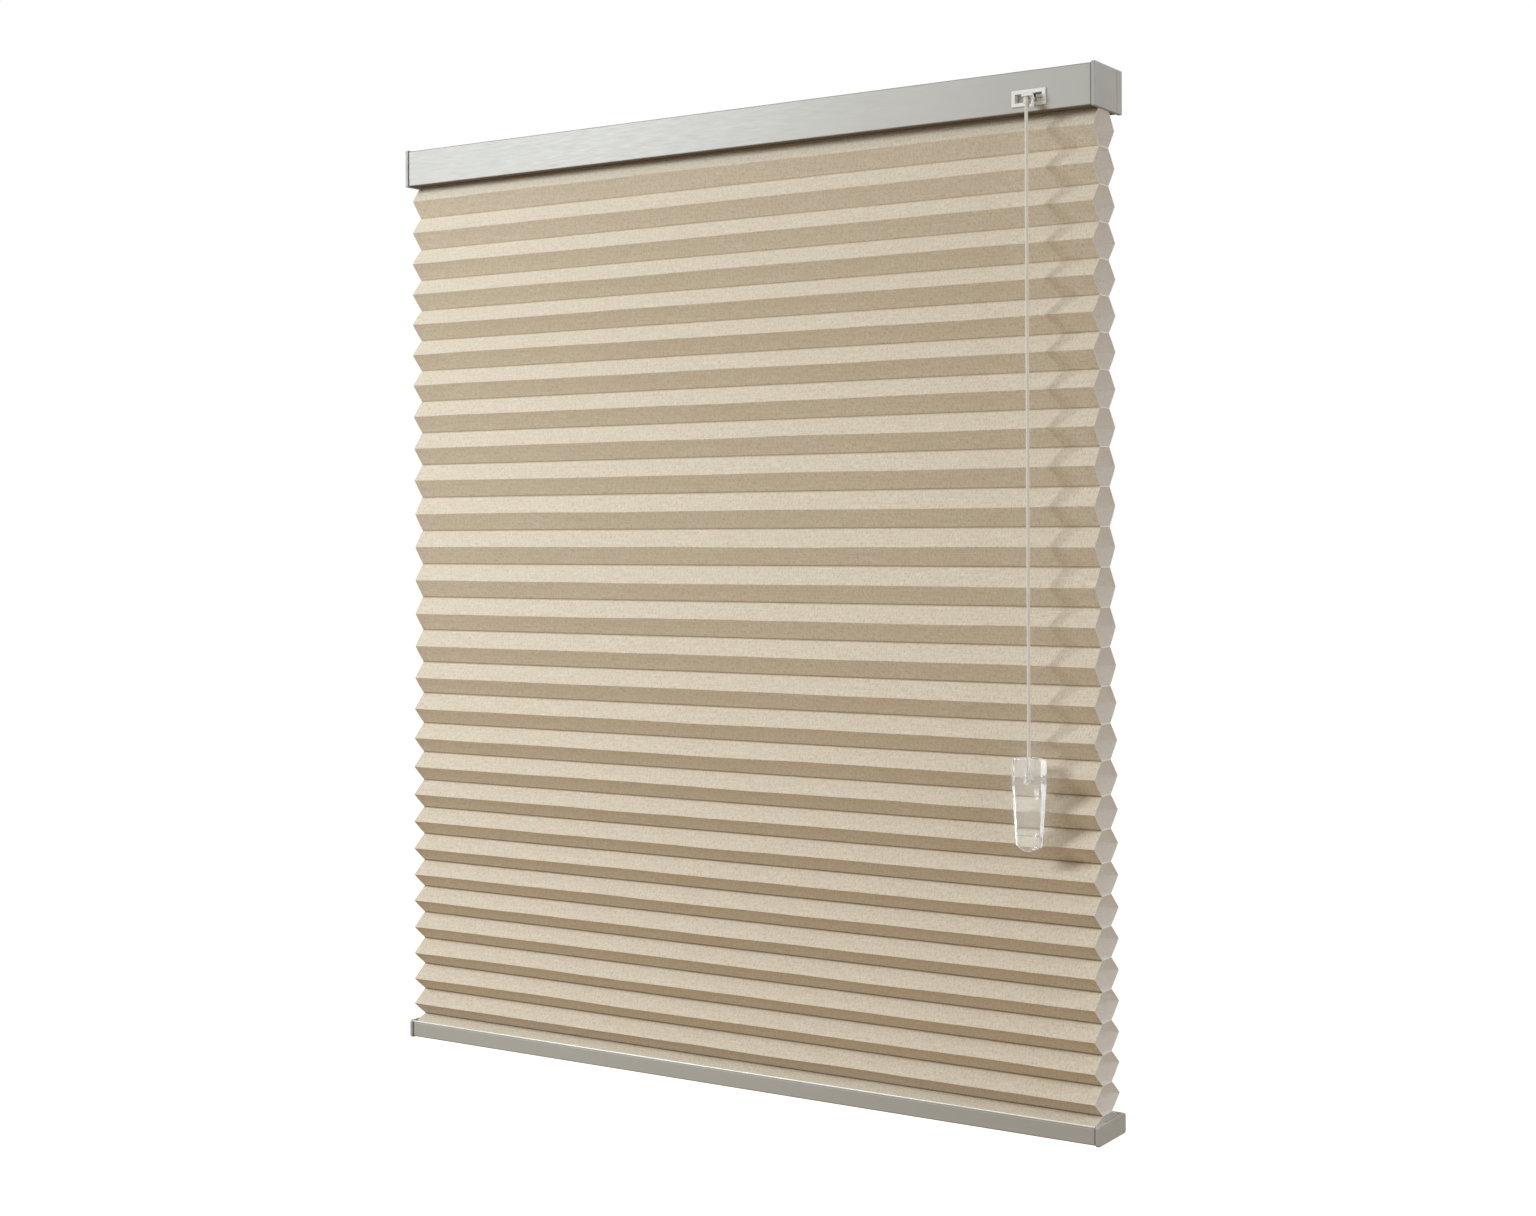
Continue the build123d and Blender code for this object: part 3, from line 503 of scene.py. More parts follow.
def clothFinish(name, look, isBack):
    material, tree, shader = newMaterial(name)
    add, _, multiply, _ = arithmetic(tree)
    cloth = addNode(tree, "ShaderNodeUVMap", uv_map="clothUV").outputs[0]

    def pattern(key):
        stretch, scale, detail, low, high = clothGrains[key]
        return useGroup(tree, fineGrain, {
            "Vector": cloth, "Stretch": stretch, "Scale": scale, "Detail": detail,
            "Low": low, "High": high,
        })["Mask"]

    weave = multiply(add(pattern("along"), pattern("across")), 0.5)
    slubs = pattern("slubs")
    if isBack:
        colour = mixColour(tree, weave, look["backShade"], look["back"])
        # painted glow: a faint emission stands in for daylight that comes through the thin cloth
        setShader(tree, shader, {
            "Emission Color": look["glowColour"], "Emission Strength": look["backPaintedGlow"],
        })
    else:
        colour = mixColour(tree, weave, look["thread"], look["colour"])
        colour = tint(tree, colour, slubs, look["slubStrength"], look["slub"])
        colour = tint(tree, colour, pattern("clouds"), look["cloudStrength"], look["cloud"])
        lines = calc(tree, "MAXIMUM", multiply(pattern("streaks"), look["streakStrength"]),
                     multiply(pattern("upright"), look["uprightStrength"]))
        colour = mixColour(tree, lines, colour, look["streak"])
        # painted shade: the glued valley between two cells gets a thin dark line
        fold = addNode(tree, "ShaderNodeAttribute", attribute_name="clothFold",
                       attribute_type="GEOMETRY").outputs["Fac"]
        valleyShade = rescale(tree, fold, 0.0, look["valleyWidth"], look["valleyStrength"], 0.0)
        # the lower cells are folded tighter, so the painted shade in their valleys is deeper
        level = splitVector(tree, objectPlace(tree))[2]
        tighter = rescale(tree, level, look["looseZ"], look["tightZ"], look["looseValley"], 1.0)
        colour = mixColour(tree, multiply(valleyShade, tighter), colour, look["valleyShade"])
    relief = add(multiply(weave, look["weaveRelief"]), multiply(slubs, look["slubRelief"]))
    relief = add(relief, multiply(pattern("crinkle"), look["crinkleRelief"]))
    setShader(tree, shader, {
        "Base Color": colour,
        "Roughness": rescale(tree, weave, 0.0, 1.0, *look["roughness"]),
        "Sheen Weight": look["sheen"],
        "Sheen Roughness": look["sheenRoughness"],
        "Specular IOR Level": look["specular"],
        "Normal": bump(tree, relief, look["depth"]),
    })
    return material


finishes["cell_fabric"] = clothFinish("cell_fabric", clothLook, False)
clothBack = clothFinish("cell_fabric_back", clothLook, True)

for subpart in frame["record"]["subparts"]:
    node = cadNodes[subpart["node"]]
    node.data.materials.clear()
    node.data.materials.append(finishes[subpart["material_slot"]])
print("materials made:", len(bpy.data.materials))


# pull cord: one spline from the winding over the outlet roller down to the knot in the handle

pullCord = dict(
    x=0.3382, startY=0.00218, hangY=-0.0378, levelZ=-0.0245, endZ=-0.6251, cornerRun=0.0086,
    diameter=0.0034,
    braid=dict(strands=8, braidPitch=0.008, strandRadius=0.0006, braidRadius=0.00096,
               braidDepth=0.00014, coreRadius=0.001, step=0.0005, sides=5, coreSides=8),
)


def routeLine(name, controls):
    curve = bpy.data.curves.new(name, "CURVE")
    curve.dimensions = "3D"
    spline = curve.splines.new("NURBS")
    spline.points.add(len(controls) - 1)
    for point, place in zip(spline.points, controls):
        point.co = (*place, 1.0)
    spline.order_u = 3
    spline.use_endpoint_u = True
    spline.resolution_u = 24
    route = addObject(name, curve)
    mesh = evaluatedMesh(route)
    bpy.data.objects.remove(route)
    return [vertex.co.copy() for vertex in mesh.vertices], mesh


def makeBraidTree(sizes):
    tree, size = newGeometryTree("braidedCord", sizes)
    add, subtract, multiply, divide = arithmetic(tree)

    def sweep(path, sides, radius):
        ring = addNode(tree, "GeometryNodeCurvePrimitiveCircle", {"Resolution": sides, "Radius": radius})
        return addNode(tree, "GeometryNodeCurveToMesh", {
            "Curve": path, "Profile Curve": ring, "Fill Caps": True,
        }).outputs[0]

    curve = addNode(tree, "GeometryNodeMeshToCurve", {0: size["Geometry"]})
    fine = addNode(tree, "GeometryNodeResampleCurve", {"Curve": curve, "Length": size["Step"]},
                   mode="LENGTH")
    copies = addNode(tree, "GeometryNodeDuplicateElements", {
        "Geometry": fine, "Amount": size["Strands"],
    }, domain="SPLINE")
    number = copies.outputs["Duplicate Index"]
    half = calc(tree, "FLOOR", divide(number, 2.0))
    direction = subtract(1.0, multiply(calc(tree, "MODULO", number, 2.0), 2.0))
    along = addNode(tree, "GeometryNodeSplineParameter").outputs["Length"]
    turns = multiply(divide(along, size["Braid Pitch"]), 2 * math.pi)
    halfCount = divide(size["Strands"], 2.0)
    share = multiply(divide(half, halfCount), 2 * math.pi)
    angle = add(multiply(turns, direction), share)
    # strands that turn one way pass over and under the others at every crossing
    ripple = calc(tree, "COSINE", multiply(turns, halfCount))
    depth = multiply(multiply(ripple, direction), size["Braid Depth"])
    radius = add(size["Braid Radius"], depth)
    tangent = addNode(tree, "GeometryNodeInputTangent").outputs[0]
    other = vectorCalc(tree, "CROSS_PRODUCT", tangent, (1, 0, 0))
    sideways = joinVector(tree, multiply(calc(tree, "COSINE", angle), radius))
    outwards = vectorCalc(tree, "SCALE", other, multiply(calc(tree, "SINE", angle), radius))
    strands = addNode(tree, "GeometryNodeSetPosition", {
        "Geometry": copies, "Offset": vectorCalc(tree, "ADD", sideways, outwards),
    })
    joined = addNode(tree, "GeometryNodeJoinGeometry")
    tree.links.new(sweep(strands, size["Sides"], size["Strand Radius"]), joined.inputs[0])
    tree.links.new(sweep(curve, size["Core Sides"], size["Core Radius"]), joined.inputs[0])
    smooth = addNode(tree, "GeometryNodeSetShadeSmooth", {0: joined})
    return endGeometryTree(tree, smooth, size["Finish"])


cordX, hangY, levelZ = pullCord["x"], pullCord["hangY"], pullCord["levelZ"]
cordLine, cordRoute = routeLine("pullCordRoute", [
    (cordX, pullCord["startY"], levelZ),
    (cordX, hangY + pullCord["cornerRun"], levelZ),
    (cordX, hangY, levelZ),
    (cordX, hangY, levelZ - pullCord["cornerRun"]),
    (cordX, hangY, pullCord["endZ"]),
])
cordPiece = addObject("braided_pull_cord", cordRoute)
runTree(cordPiece, makeBraidTree(pullCord["braid"]), pullCord["braid"], finishes["pull_cord"])


# the knot that holds the handle: a real overhand turn of the same cord

knot = dict(z=-0.6277, scale=0.00072, deepening=1.3, cordRadius=0.0011, steps=72, sides=10)


def makeKnot():
    line = []
    for step in range(knot["steps"]):
        turn = 2 * math.pi * step / knot["steps"]
        line.append(Vector((
            cordX + knot["scale"] * (math.sin(turn) + 2 * math.sin(2 * turn)),
            hangY + knot["scale"] * -math.sin(3 * turn) * knot["deepening"],
            knot["z"] + knot["scale"] * (math.cos(turn) - 2 * math.cos(2 * turn)),
        )))
    piece = tubeAround("pull_cord_overhand_knot", line, knot["cordRadius"], knot["sides"], closed=True)
    piece.data.materials.append(finishes["pull_cord"])
    return piece


# a clear moulded grip: a broad head, a waist below it, bevelled sides and a round toe

handle = dict(
    x=0.3382, y=-0.0378, topZ=-0.6082, height=0.0834, headHalfWidth=0.0145, toeHalfWidth=0.0115,
    shoulder=0.005, edge=0.0016, headHalfDepth=0.0073, neckHalfDepth=0.0065, toeHalfDepth=0.0045,
    waistTop=0.026, waistEnd=0.029, toeLine=0.0688, toeStep=0.0003, toeSagitta=0.005, toeTip=0.0011,
    bevelWide=0.0018, bevelDeep=0.0016, bevelShare=0.45, soft=0.0005, softAngle=24, sharpAngle=32,
    bore=0.0022, boreAbove=0.011, boreSides=28, knotDepth=0.0195,
    pocket=0.0042, pocketFloor=0.0036, pocketRun=0.02, pocketSides=36,
    # distances below the top at which the grip's outline is drawn
    levels=(0, 0.0003, 0.0009, 0.0016, 0.0026, 0.0038, 0.005, 0.015, 0.026, 0.029, 0.045, 0.06,
            0.0688, 0.0692, 0.0740, 0.0784, 0.0796, 0.0808, 0.0818, 0.0826, 0.0831, 0.0834),
)


def handleSection(down):
    # half width and half depth of the grip at a distance below its top
    toeStart = handle["height"] - handle["toeSagitta"]
    if down < handle["shoulder"]:
        lift = handle["shoulder"] - down
        halfWidth = (handle["headHalfWidth"] - handle["shoulder"]
                     + math.sqrt(handle["shoulder"] ** 2 - lift ** 2))
    elif down < handle["waistTop"]:
        halfWidth = handle["headHalfWidth"]
    elif down < toeStart:
        share = (down - handle["waistTop"]) / (toeStart - handle["waistTop"])
        halfWidth = between(handle["headHalfWidth"], handle["toeHalfWidth"], share)
    else:
        sagitta = handle["toeSagitta"]
        radius = (handle["toeHalfWidth"] ** 2 + sagitta ** 2) / (2 * sagitta)
        chord = radius ** 2 - (radius - (handle["height"] - down)) ** 2
        halfWidth = math.sqrt(max(chord, handle["toeTip"] ** 2))
    if down < handle["waistTop"]:
        halfDepth = handle["headHalfDepth"]
    elif down < handle["waistEnd"]:
        share = (down - handle["waistTop"]) / (handle["waistEnd"] - handle["waistTop"])
        halfDepth = between(handle["headHalfDepth"], handle["neckHalfDepth"], share)
    else:
        share = (down - handle["waistEnd"]) / (handle["height"] - handle["waistEnd"])
        halfDepth = between(handle["neckHalfDepth"], handle["toeHalfDepth"], share)
    if down > handle["toeLine"]:
        halfDepth -= handle["toeStep"]
    for end in (down, handle["height"] - down):
        if end < handle["edge"]:
            halfDepth -= handle["edge"] - math.sqrt(handle["edge"] ** 2 - (handle["edge"] - end) ** 2)
    return halfWidth, halfDepth


def makeHandle():
    points, faces = [], []
    for down in handle["levels"]:
        halfWidth, halfDepth = handleSection(down)
        wide = halfWidth - min(handle["bevelWide"], handle["bevelShare"] * halfWidth)
        deep = halfDepth - min(handle["bevelDeep"], handle["bevelShare"] * halfDepth)
        for x, y in ((wide, -halfDepth), (halfWidth, -deep), (halfWidth, deep), (wide, halfDepth),
                     (-wide, halfDepth), (-halfWidth, deep), (-halfWidth, -deep), (-wide, -halfDepth)):
            points.append((handle["x"] + x, handle["y"] + y, handle["topZ"] - down))
    for first in range(0, len(points) - 8, 8):
        for corner in range(8):
            following = (corner + 1) % 8
            faces.append((first + following, first + corner, first + 8 + corner, first + 8 + following))
    faces.append(tuple(range(8)))
    faces.append(tuple(reversed(range(len(points) - 8, len(points)))))
    piece = addMesh("clear_pull_handle", points, faces)
    softenEdges(piece, handle["soft"], 2, handle["softAngle"])
    depth = handle["knotDepth"]
    boreMiddle = Vector((handle["x"], handle["y"], handle["topZ"] - depth / 2))
    bore = tubeAround("bore_cutter", [
        boreMiddle + Vector((0, 0, z)) for z in (-0.5 * depth, handle["boreAbove"])
    ], handle["bore"], handle["boreSides"])
    pocketFront = handle["y"] - handle["headHalfDepth"] + handle["pocketFloor"]
    pocket = tubeAround("pocket_cutter", [
        Vector((handle["x"], y, handle["topZ"] - depth))
        for y in (pocketFront, pocketFront + handle["pocketRun"])
    ], handle["pocket"], handle["pocketSides"])
    for cutter in (bore, pocket):
        hollow = piece.modifiers.new("hollow", "BOOLEAN")
        hollow.operation = "DIFFERENCE"
        hollow.object = cutter
        hollow.solver = "EXACT"
        bakeModifiers(piece)
        bpy.data.objects.remove(cutter)
    smoothFaces(piece, handle["sharpAngle"])
    piece.data.materials.clear()
    piece.data.materials.append(finishes["clear_acrylic"])
    return piece


handlePiece = makeHandle()
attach(handlePiece, "pull")
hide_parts("pull_handle")
print("handle made:", len(handlePiece.data.polygons), "faces")

knotPiece = makeKnot()
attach(knotPiece, "pull")
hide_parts("pull_cord_knot")
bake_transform(cordPiece)
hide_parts("pull_cord")


# inside of the outlet: a hollowed throat on the left and two moulded steps on the right

throat = dict(
    left=0.3230, leftDeep=0.0225, right=0.3349, rightDeep=0.0289, back=0.0214,
    bottom=-0.0286, top=-0.0208, steps=10, hollowing=2.2,
    stepLeft=0.3428, stepRight=0.3493, stepFront=0.0286, stepTop=-0.0226, stepMiddle=-0.0255,
    slit=0.0006, soft=0.0004, softAngle=40,
)


def uprightPrism(outline, bottom, top):
    # outline runs anticlockwise seen from above
    count = len(outline)
    points = [(x, y, bottom) for x, y in outline] + [(x, y, top) for x, y in outline]
    faces = [(i, (i + 1) % count, (i + 1) % count + count, i + count) for i in range(count)]
    faces += [tuple(reversed(range(count))), tuple(range(count, 2 * count))]
    return points, faces


def makeThroat():
    left, right, back = throat["left"], throat["right"], -throat["back"]
    hollow = []
    for step in range(throat["steps"] + 1):
        share = step / throat["steps"]
        deep = between(throat["leftDeep"], throat["rightDeep"], share ** throat["hollowing"])
        hollow.append((between(left, right, share), -deep))
    stepOutline = [
        (throat["stepLeft"], -throat["stepFront"]), (throat["stepRight"], -throat["stepFront"]),
        (throat["stepRight"], back), (throat["stepLeft"], back),
    ]
    blocks = [
        uprightPrism(hollow + [(right, back), (left, back)], throat["bottom"], throat["top"]),
        uprightPrism(stepOutline, throat["bottom"], throat["stepMiddle"] - throat["slit"]),
        uprightPrism(stepOutline, throat["stepMiddle"], throat["stepTop"]),
    ]
    points, faces = [], []
    for blockPoints, blockFaces in blocks:
        faces += [tuple(index + len(points) for index in face) for face in blockFaces]
        points += blockPoints
    piece = addMesh("outlet_throat", points, faces)
    softenEdges(piece, throat["soft"], 3, throat["softAngle"])
    smoothFaces(piece, throat["softAngle"])
    piece.data.materials.append(finishes["outlet_plastic"])
    return piece


throatPiece = makeThroat()
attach(throatPiece, "root")

# rolled lips of the bottom rail, coloured much lighter than the rail as a painted highlight along its
# edges
railLip = dict(radius=0.0009, sides=12, halfLength=0.3958, reach=0.0278, z=-0.9294)

for word, side in (("front", -1), ("back", 1)):
    line = [Vector((x, side * railLip["reach"], railLip["z"]))
            for x in (-railLip["halfLength"], railLip["halfLength"])]
    lip = tubeAround("bottom_rail_" + word + "_lip", line, railLip["radius"], railLip["sides"])
    lip.data.materials.append(finishes["rail_lip"])
    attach(lip, "bottom_rail")
print("outlet throat and rail lips made")


# lift cords: two thin cords that hang through the cells

liftCord = dict(x=0.25, topZ=-0.0155, bottomZ=-0.9378, radius=0.0007, rings=60, sides=10, keep=0.1)

for word, side in (("left", -1), ("right", 1)):
    line = [
        Vector((side * liftCord["x"], 0,
                between(liftCord["topZ"], liftCord["bottomZ"], ring / liftCord["rings"])))
        for ring in range(liftCord["rings"] + 1)
    ]
    piece = tubeAround("thin_lift_cord_" + word, line, liftCord["radius"], liftCord["sides"])
    piece.data.materials.append(finishes["lift_cord"])
    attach(piece, "root")
    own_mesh(piece)
    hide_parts("lift_cord_" + word)
print("lift cords made")


# honeycomb cloth: one ring of cloth for each cell, repeated down the blind

cells = dict(
    count=28, width=0.79, land=0.0198, panel=0.0215, topZ=-0.0355, drop=0.8882,
    pitchNominal=33.0, pitchLoss=8.2, lossStarts=15.0, lossSpread=12.0,
    pitchWave=1.7, waveCells=14.0, wavePhase=8.5,
    lastDrop=0.0125, lastReach=0.0248, glueGap=0.00004, mergeReach=0.000005,
    columns=78, bow=0.0003, waviness=0.0005, seed=7,
    thickness=0.00035, panelParts=3, sharpAngle=22, squashKeep=0.0654,
)
notForTree = ("thickness", "panelParts", "sharpAngle", "squashKeep")
# how far apart the creases are in the noise that bends them, and how much they move each way
creaseWander = dict(cellStep=3.7, sideStep=0.9, seedStep=1.3, scale=6.5, detail=2.0,
                    push=(0.0, 1.6, 2.4))


def makeCellOutline():
    # one cell in unit form: x is the spread past the land, y the side, z the share of its height
    steps = 2 * cells["panelParts"]
    outline = [(0.0, 0.0, 0.0)]
    for side, order, end in ((1.0, range(steps + 1), 1.0), (-1.0, range(steps, -1, -1), 0.0)):
        for step in order:
            height = step / steps
            outline.append((side * (1 - abs(height - 0.5) * 2), side, height))
        outline.append((0.0, 0.0, end))
    return outline


def makeCellTree(sizes):
    tree, size = newGeometryTree("honeycombCells", sizes)
    add, subtract, multiply, divide = arithmetic(tree)
    sameNumber = 0.1  # whole numbers nearer than this are equal

    def wholeAndRest(number, step):
        # how many whole steps a number holds, and what is left over
        whole = calc(tree, "FLOOR", divide(add(number, 0.5), step))
        return whole, subtract(number, multiply(whole, step))

    def atPoint(index, geometry):
        sample = addNode(tree, "GeometryNodeSampleIndex", {
            "Geometry": geometry, "Value": addNode(tree, "GeometryNodeInputPosition"), "Index": index,
        }, data_type="FLOAT_VECTOR", clamp=True)
        return splitVector(tree, sample)

    def keepValue(geometry, name, value, kind, domain):
        return addNode(tree, "GeometryNodeStoreNamedAttribute", {
            "Geometry": geometry, "Name": name, "Value": value,
        }, data_type=kind, domain=domain)

    # heights of the cells: even at first, closing up towards the bottom, with a slow wave
    cellCount = add(size["Count"], 1.0)
    line = addNode(tree, "GeometryNodeMeshLine", {"Count": cellCount})
    cellIndex = addNode(tree, "GeometryNodeInputIndex").outputs[0]
    cellNumber = add(cellIndex, 1.0)
    closing = divide(subtract(cellNumber, size["Loss Starts"]), size["Loss Spread"])
    loss = multiply(rescale(tree, closing, kind="SMOOTHSTEP"), size["Pitch Loss"])
    phase = divide(subtract(cellNumber, size["Wave Phase"]), size["Wave Cells"])
    wave = multiply(calc(tree, "SINE", multiply(phase, 2 * math.pi)), size["Pitch Wave"])
    isLast = calc(tree, "COMPARE", cellIndex, size["Count"], sameNumber)
    notLast = subtract(1.0, isLast)
    raw = multiply(subtract(add(size["Pitch Nominal"], wave), loss), notLast)
    sums = addNode(tree, "GeometryNodeAccumulateField", {"Value": raw}).outputs
    scale = divide(size["Drop"], sums["Total"])
    cellTop = subtract(size["Top Z"], multiply(sums["Trailing"], scale))
    pitch = add(multiply(raw, scale), multiply(isLast, size["Last Drop"]))

    # the panels keep their length, so a lower cell spreads further to the front and back
    panelSquare = calc(tree, "POWER", size["Panel"], 2.0)
    pitchSquare = calc(tree, "POWER", multiply(pitch, 0.5), 2.0)
    halfLand = multiply(size["Land"], 0.5)
    spread = multiply(calc(tree, "SQRT", subtract(panelSquare, pitchSquare)), notLast)
    spread = add(spread, multiply(subtract(size["Last Reach"], halfLand), isLast))
    sizesOfCells = addNode(tree, "GeometryNodeSetPosition", {
        "Geometry": line, "Position": joinVector(tree, spread, pitch, cellTop),
    })

    # a grid: a column for each place along the blind, a row for each point of each cell
    totalRows = multiply(size["Rows"], cellCount)
    grid = addNode(tree, "GeometryNodeMeshGrid", {
        "Vertices X": size["Columns"], "Vertices Y": totalRows,
    })
    column, row = wholeAndRest(addNode(tree, "GeometryNodeInputIndex").outputs[0], totalRows)
    ownCell, ownRow = wholeAndRest(row, size["Rows"])
    shape = atPoint(ownRow, size["Geometry"])
    cell = atPoint(ownCell, sizesOfCells)
    free = calc(tree, "ABSOLUTE", shape[0])
    side = calc(tree, "SIGN", shape[1])
    bowed = multiply(multiply(free, subtract(1.0, free)), 4.0)  # 1 in the middle of a panel
    bowed = multiply(multiply(bowed, size["Bow"]), side)
    reach = add(multiply(shape[1], halfLand), multiply(shape[0], cell[0]))
    reach = multiply(add(reach, bowed), -1.0)
    cellHeight = multiply(shape[2], subtract(cell[1], size["Glue Gap"]))
    height = subtract(subtract(cell[2], multiply(size["Glue Gap"], 0.5)), cellHeight)
    share = divide(column, subtract(size["Columns"], 1.0))
    sideways = multiply(subtract(share, 0.5), size["Width"])
    shaped = addNode(tree, "GeometryNodeSetPosition", {
        "Geometry": grid, "Position": joinVector(tree, sideways, reach, height),
    })

    # creases wander a little along the blind, each in its own way; the glued lands stay flat
    ownPart = add(multiply(ownCell, creaseWander["cellStep"]), multiply(side, creaseWander["sideStep"]))
    slow = addNode(tree, "ShaderNodeTexNoise", {
        "Vector": joinVector(tree, sideways, ownPart, multiply(size["Seed"], creaseWander["seedStep"])),
        "Scale": creaseWander["scale"], "Detail": creaseWander["detail"],
    })
    centred = vectorCalc(tree, "SUBTRACT", slow.outputs["Color"], (0.5, 0.5, 0.5))
    push = vectorCalc(tree, "MULTIPLY", centred, creaseWander["push"])
    amount = multiply(multiply(free, size["Waviness"]), 2.0)
    alive = addNode(tree, "GeometryNodeSetPosition", {
        "Geometry": shaped, "Offset": vectorCalc(tree, "SCALE", push, amount),
    })

    # cloth coordinates in metres: along the blind, and round the ring of each cell
    gridMap = splitVector(tree, grid.outputs["UV Map"])
    mapRow = calc(tree, "ROUND", multiply(gridMap[1], subtract(totalRows, 1.0)))
    mapCell, mapRest = wholeAndRest(mapRow, size["Rows"])
    mapShare = divide(mapRest, subtract(size["Rows"], 1.0))
    ringLength = add(multiply(size["Land"], 2.0), multiply(size["Panel"], 4.0))
    clothMap = joinVector(tree, multiply(gridMap[0], size["Width"]),
                          multiply(add(mapCell, mapShare), ringLength))
    folded = keepValue(alive, "clothFold", free, "FLOAT", "POINT")
    mapped = keepValue(folded, "clothUV", clothMap, "FLOAT2", "CORNER")

    # cut the grid between one cell and the next, then close each ring
    face = addNode(tree, "GeometryNodeInputIndex").outputs[0]
    faceRow = wholeAndRest(face, subtract(totalRows, 1.0))[1]
    lastRow = wholeAndRest(add(faceRow, 1.0), size["Rows"])[1]
    cut = addNode(tree, "GeometryNodeDeleteGeometry", {
        "Geometry": mapped, "Selection": calc(tree, "COMPARE", lastRow, 0.0, sameNumber),
    }, domain="FACE", mode="ALL")
    closed = addNode(tree, "GeometryNodeMergeByDistance", {
        "Geometry": cut, "Distance": size["Merge Reach"],
    })
    outward = addNode(tree, "GeometryNodeFlipFaces", {0: closed})
    return endGeometryTree(tree, outward, size["Finish"])


cellOutline = makeCellOutline()
cellSizes = {key: value for key, value in cells.items() if key not in notForTree}
cellSizes["rows"] = len(cellOutline)
clothPiece = addMesh("honeycomb_cloth", cellOutline, [])
runTree(clothPiece, makeCellTree(cellSizes), cellSizes, finishes["cell_fabric"])
clothPiece.data.materials.append(clothBack)
wall = clothPiece.modifiers.new("cloth thickness", "SOLIDIFY")
wall.thickness = cells["thickness"]
wall.offset = -1
wall.material_offset = 1
wall.material_offset_rim = 1
bakeModifiers(clothPiece)


def takeBelow(piece, name, level):
    # the part of a mesh below a level becomes a piece of its own
    lower = addObject(name, bpy.data.meshes.new(name))
    for material in piece.data.materials:
        lower.data.materials.append(material)
    for target, isLower in ((lower.data, True), (piece.data, False)):
        shape = bmesh.new()
        shape.from_mesh(piece.data)
        unwanted = [face for face in shape.faces if (face.calc_center_median().z < level) != isLower]
        bmesh.ops.delete(shape, geom=unwanted, context="FACES")
        shape.to_mesh(target)
        shape.free()
    return lower


# the last half cell is held in the bottom rail and rises with it
clothEnd = takeBelow(clothPiece, "honeycomb_cloth_end", cells["topZ"] - cells["drop"])
smoothFaces(clothPiece, cells["sharpAngle"])
smoothFaces(clothEnd, cells["sharpAngle"])
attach(clothEnd, "bottom_rail")
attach(clothPiece, "root")
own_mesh(clothPiece)
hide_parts("honeycomb_fabric")
print("cloth made:", len(clothPiece.data.polygons) + len(clothEnd.data.polygons), "faces")


# floor, light and camera

stageLook = dict(
    floorZ=-1.2, floorSize=14.0, floorColour=(0.36, 0.24, 0.12, 1),
    otherColour=(0.38, 0.26, 0.135, 1), grainScale=3.0, roughness=0.9,
    glowColour=(0.97, 0.98, 1.0, 1), floorGlow=0.96,
    roomColour=(1, 0.925, 0.81, 1), roomLight=0.465, lampColour=(0.89, 0.96, 1.0),
)


def seenDirectly(tree):
    # what the camera sees, through the clear grip too
    rays = addNode(tree, "ShaderNodeLightPath").outputs
    return calc(tree, "MAXIMUM", rays["Is Camera Ray"], rays["Is Transmission Ray"])


half = stageLook["floorSize"]
floor = addMesh("pale_floor", [
    (x * half, y * half, stageLook["floorZ"]) for x, y in ((-1, -1), (1, -1), (1, 1), (-1, 1))
], [(0, 1, 2, 3)])
floorFinish, floorTree, floorShader = newMaterial("pale_floor")
floorGrain = useGroup(floorTree, fineGrain, {
    "Vector": objectPlace(floorTree), "Scale": stageLook["grainScale"],
})
# the floor glows only where it is seen, so it is pale without lighting the blind from below
setShader(floorTree, floorShader, {
    "Base Color": mixColour(floorTree, floorGrain["Mask"], stageLook["floorColour"],
                            stageLook["otherColour"]),
    "Roughness": stageLook["roughness"],
    "Emission Color": stageLook["glowColour"],
    "Emission Strength": rescale(floorTree, seenDirectly(floorTree), toHigh=stageLook["floorGlow"]),
})
floor.data.materials.append(floorFinish)

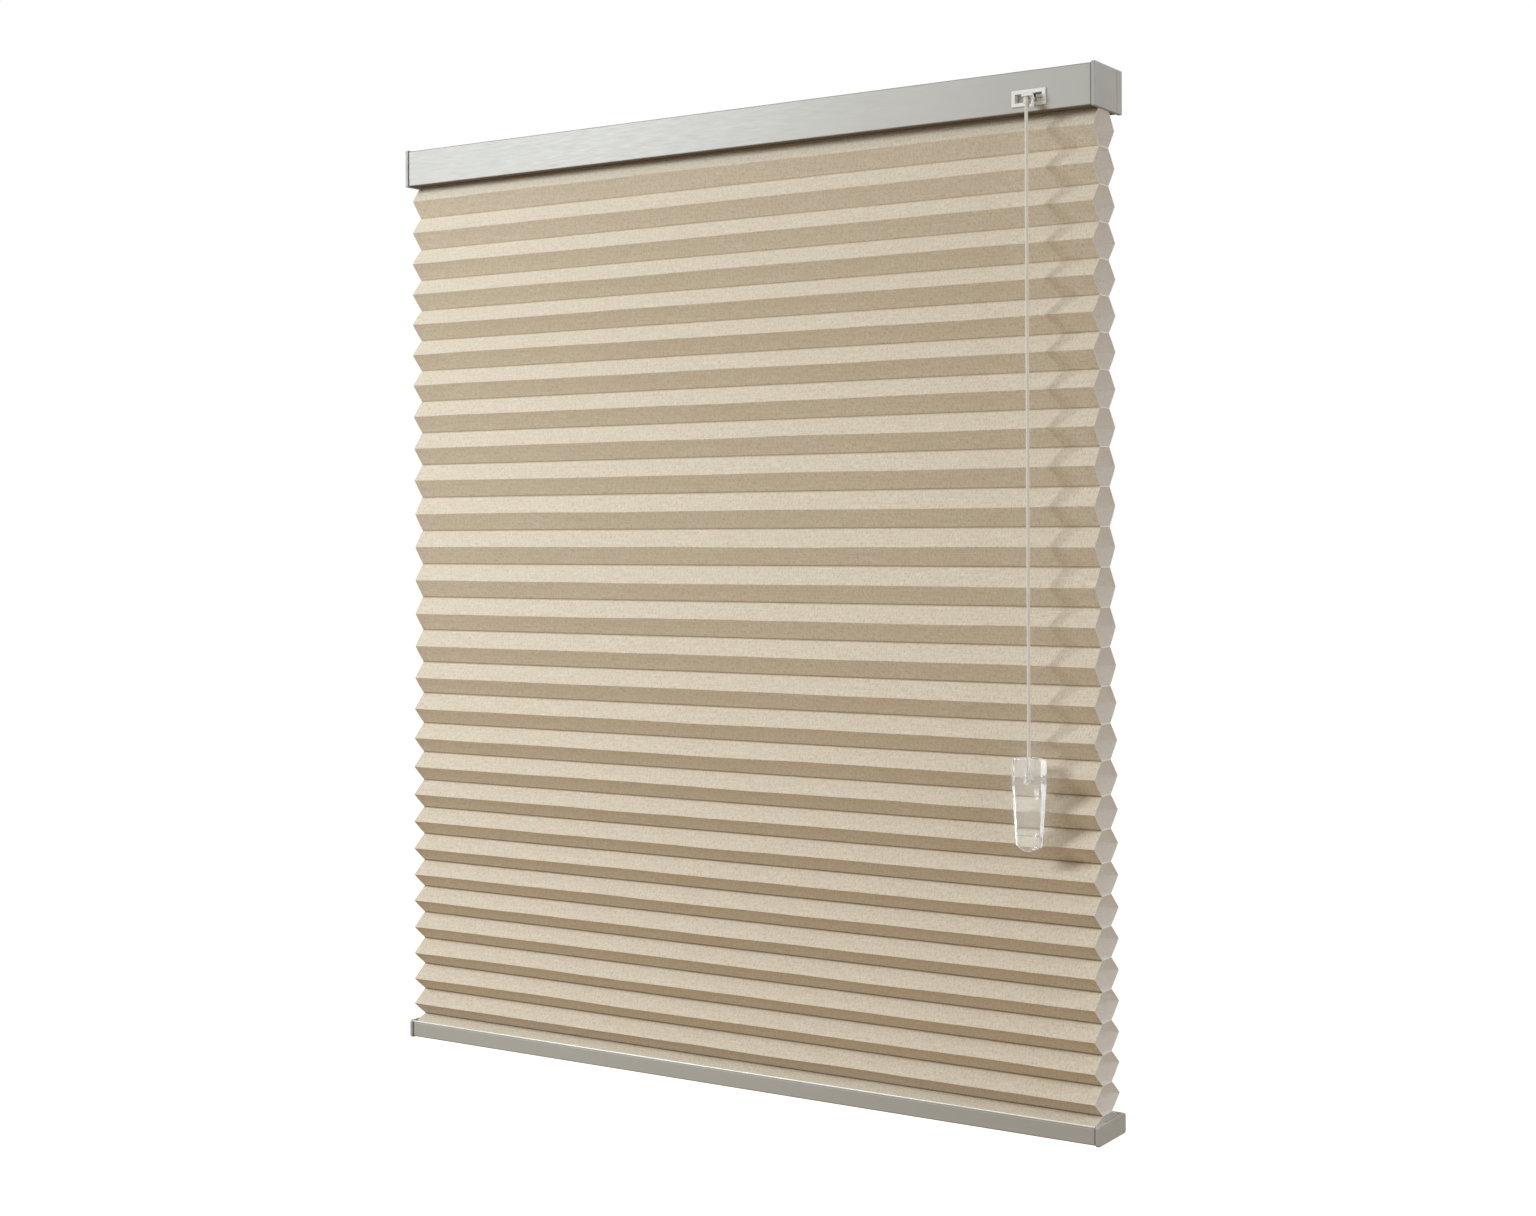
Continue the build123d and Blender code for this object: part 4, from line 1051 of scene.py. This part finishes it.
# place, target, width, height and power of each lamp
lamps = {
    "key light": ((-1.55, -1.8, 0.62), (0.0, 0, -0.45), 0.8, 1.0, 52.0),
    "fill light": ((2.3, -0.3, -0.2), (0.3, 0, -0.45), 1.4, 1.6, 18.5),
    "rim light": ((0.6, 2.2, 1.2), (0.1, 0, -0.4), 1.4, 1.4, 18.0),
}
for name, (place, target, width, height, power) in lamps.items():
    lamp = bpy.data.lights.new(name, "AREA")
    lamp.shape = "RECTANGLE"
    lamp.size = width
    lamp.size_y = height
    lamp.energy = power
    lamp.color = stageLook["lampColour"]
    holder = addObject(name, lamp)
    holder.location = place
    holder.rotation_euler = (Vector(target) - Vector(place)).to_track_quat("-Z", "Y").to_euler()

world = bpy.data.worlds.new("soft white room")
bpy.context.scene.world = world
world.use_nodes = True
worldTree = world.node_tree
room = worldTree.nodes["Background"]
roomSeen = seenDirectly(worldTree)
feed(worldTree, room.inputs["Color"],
     mixColour(worldTree, roomSeen, stageLook["roomColour"], (1, 1, 1, 1)))
feed(worldTree, room.inputs["Strength"], rescale(worldTree, roomSeen, toLow=stageLook["roomLight"]))

bpy.context.scene.view_settings.view_transform = "Standard"

cameraLook = dict(
    place=(1.1911, -1.7794, -0.4087), yaw=-32.887, pitch=-0.255, roll=-0.27, lens=51.15,
    sensor=36.0, shiftY=-0.0428, nearest=0.01, furthest=100,
)


def makeCamera():
    yaw, pitch, roll = (math.radians(cameraLook[key]) for key in ("yaw", "pitch", "roll"))
    ahead = Vector((math.sin(yaw) * math.cos(pitch), math.cos(yaw) * math.cos(pitch), math.sin(pitch)))
    level = Vector((math.cos(yaw), -math.sin(yaw), 0))
    upright = level.cross(ahead)
    right = math.cos(roll) * level + math.sin(roll) * upright
    up = math.cos(roll) * upright - math.sin(roll) * level
    data = bpy.data.cameras.new("camera")
    data.lens = cameraLook["lens"]
    data.sensor_fit = "HORIZONTAL"
    data.sensor_width = cameraLook["sensor"]
    data.shift_y = cameraLook["shiftY"]
    data.clip_start = cameraLook["nearest"]
    data.clip_end = cameraLook["furthest"]
    camera = addObject("camera", data)
    turn = Matrix((right, up, -ahead)).transposed().to_4x4()
    camera.matrix_world = Matrix.Translation(cameraLook["place"]) @ turn
    return camera


bpy.context.scene.camera = makeCamera()
print("stage, lights and camera made")
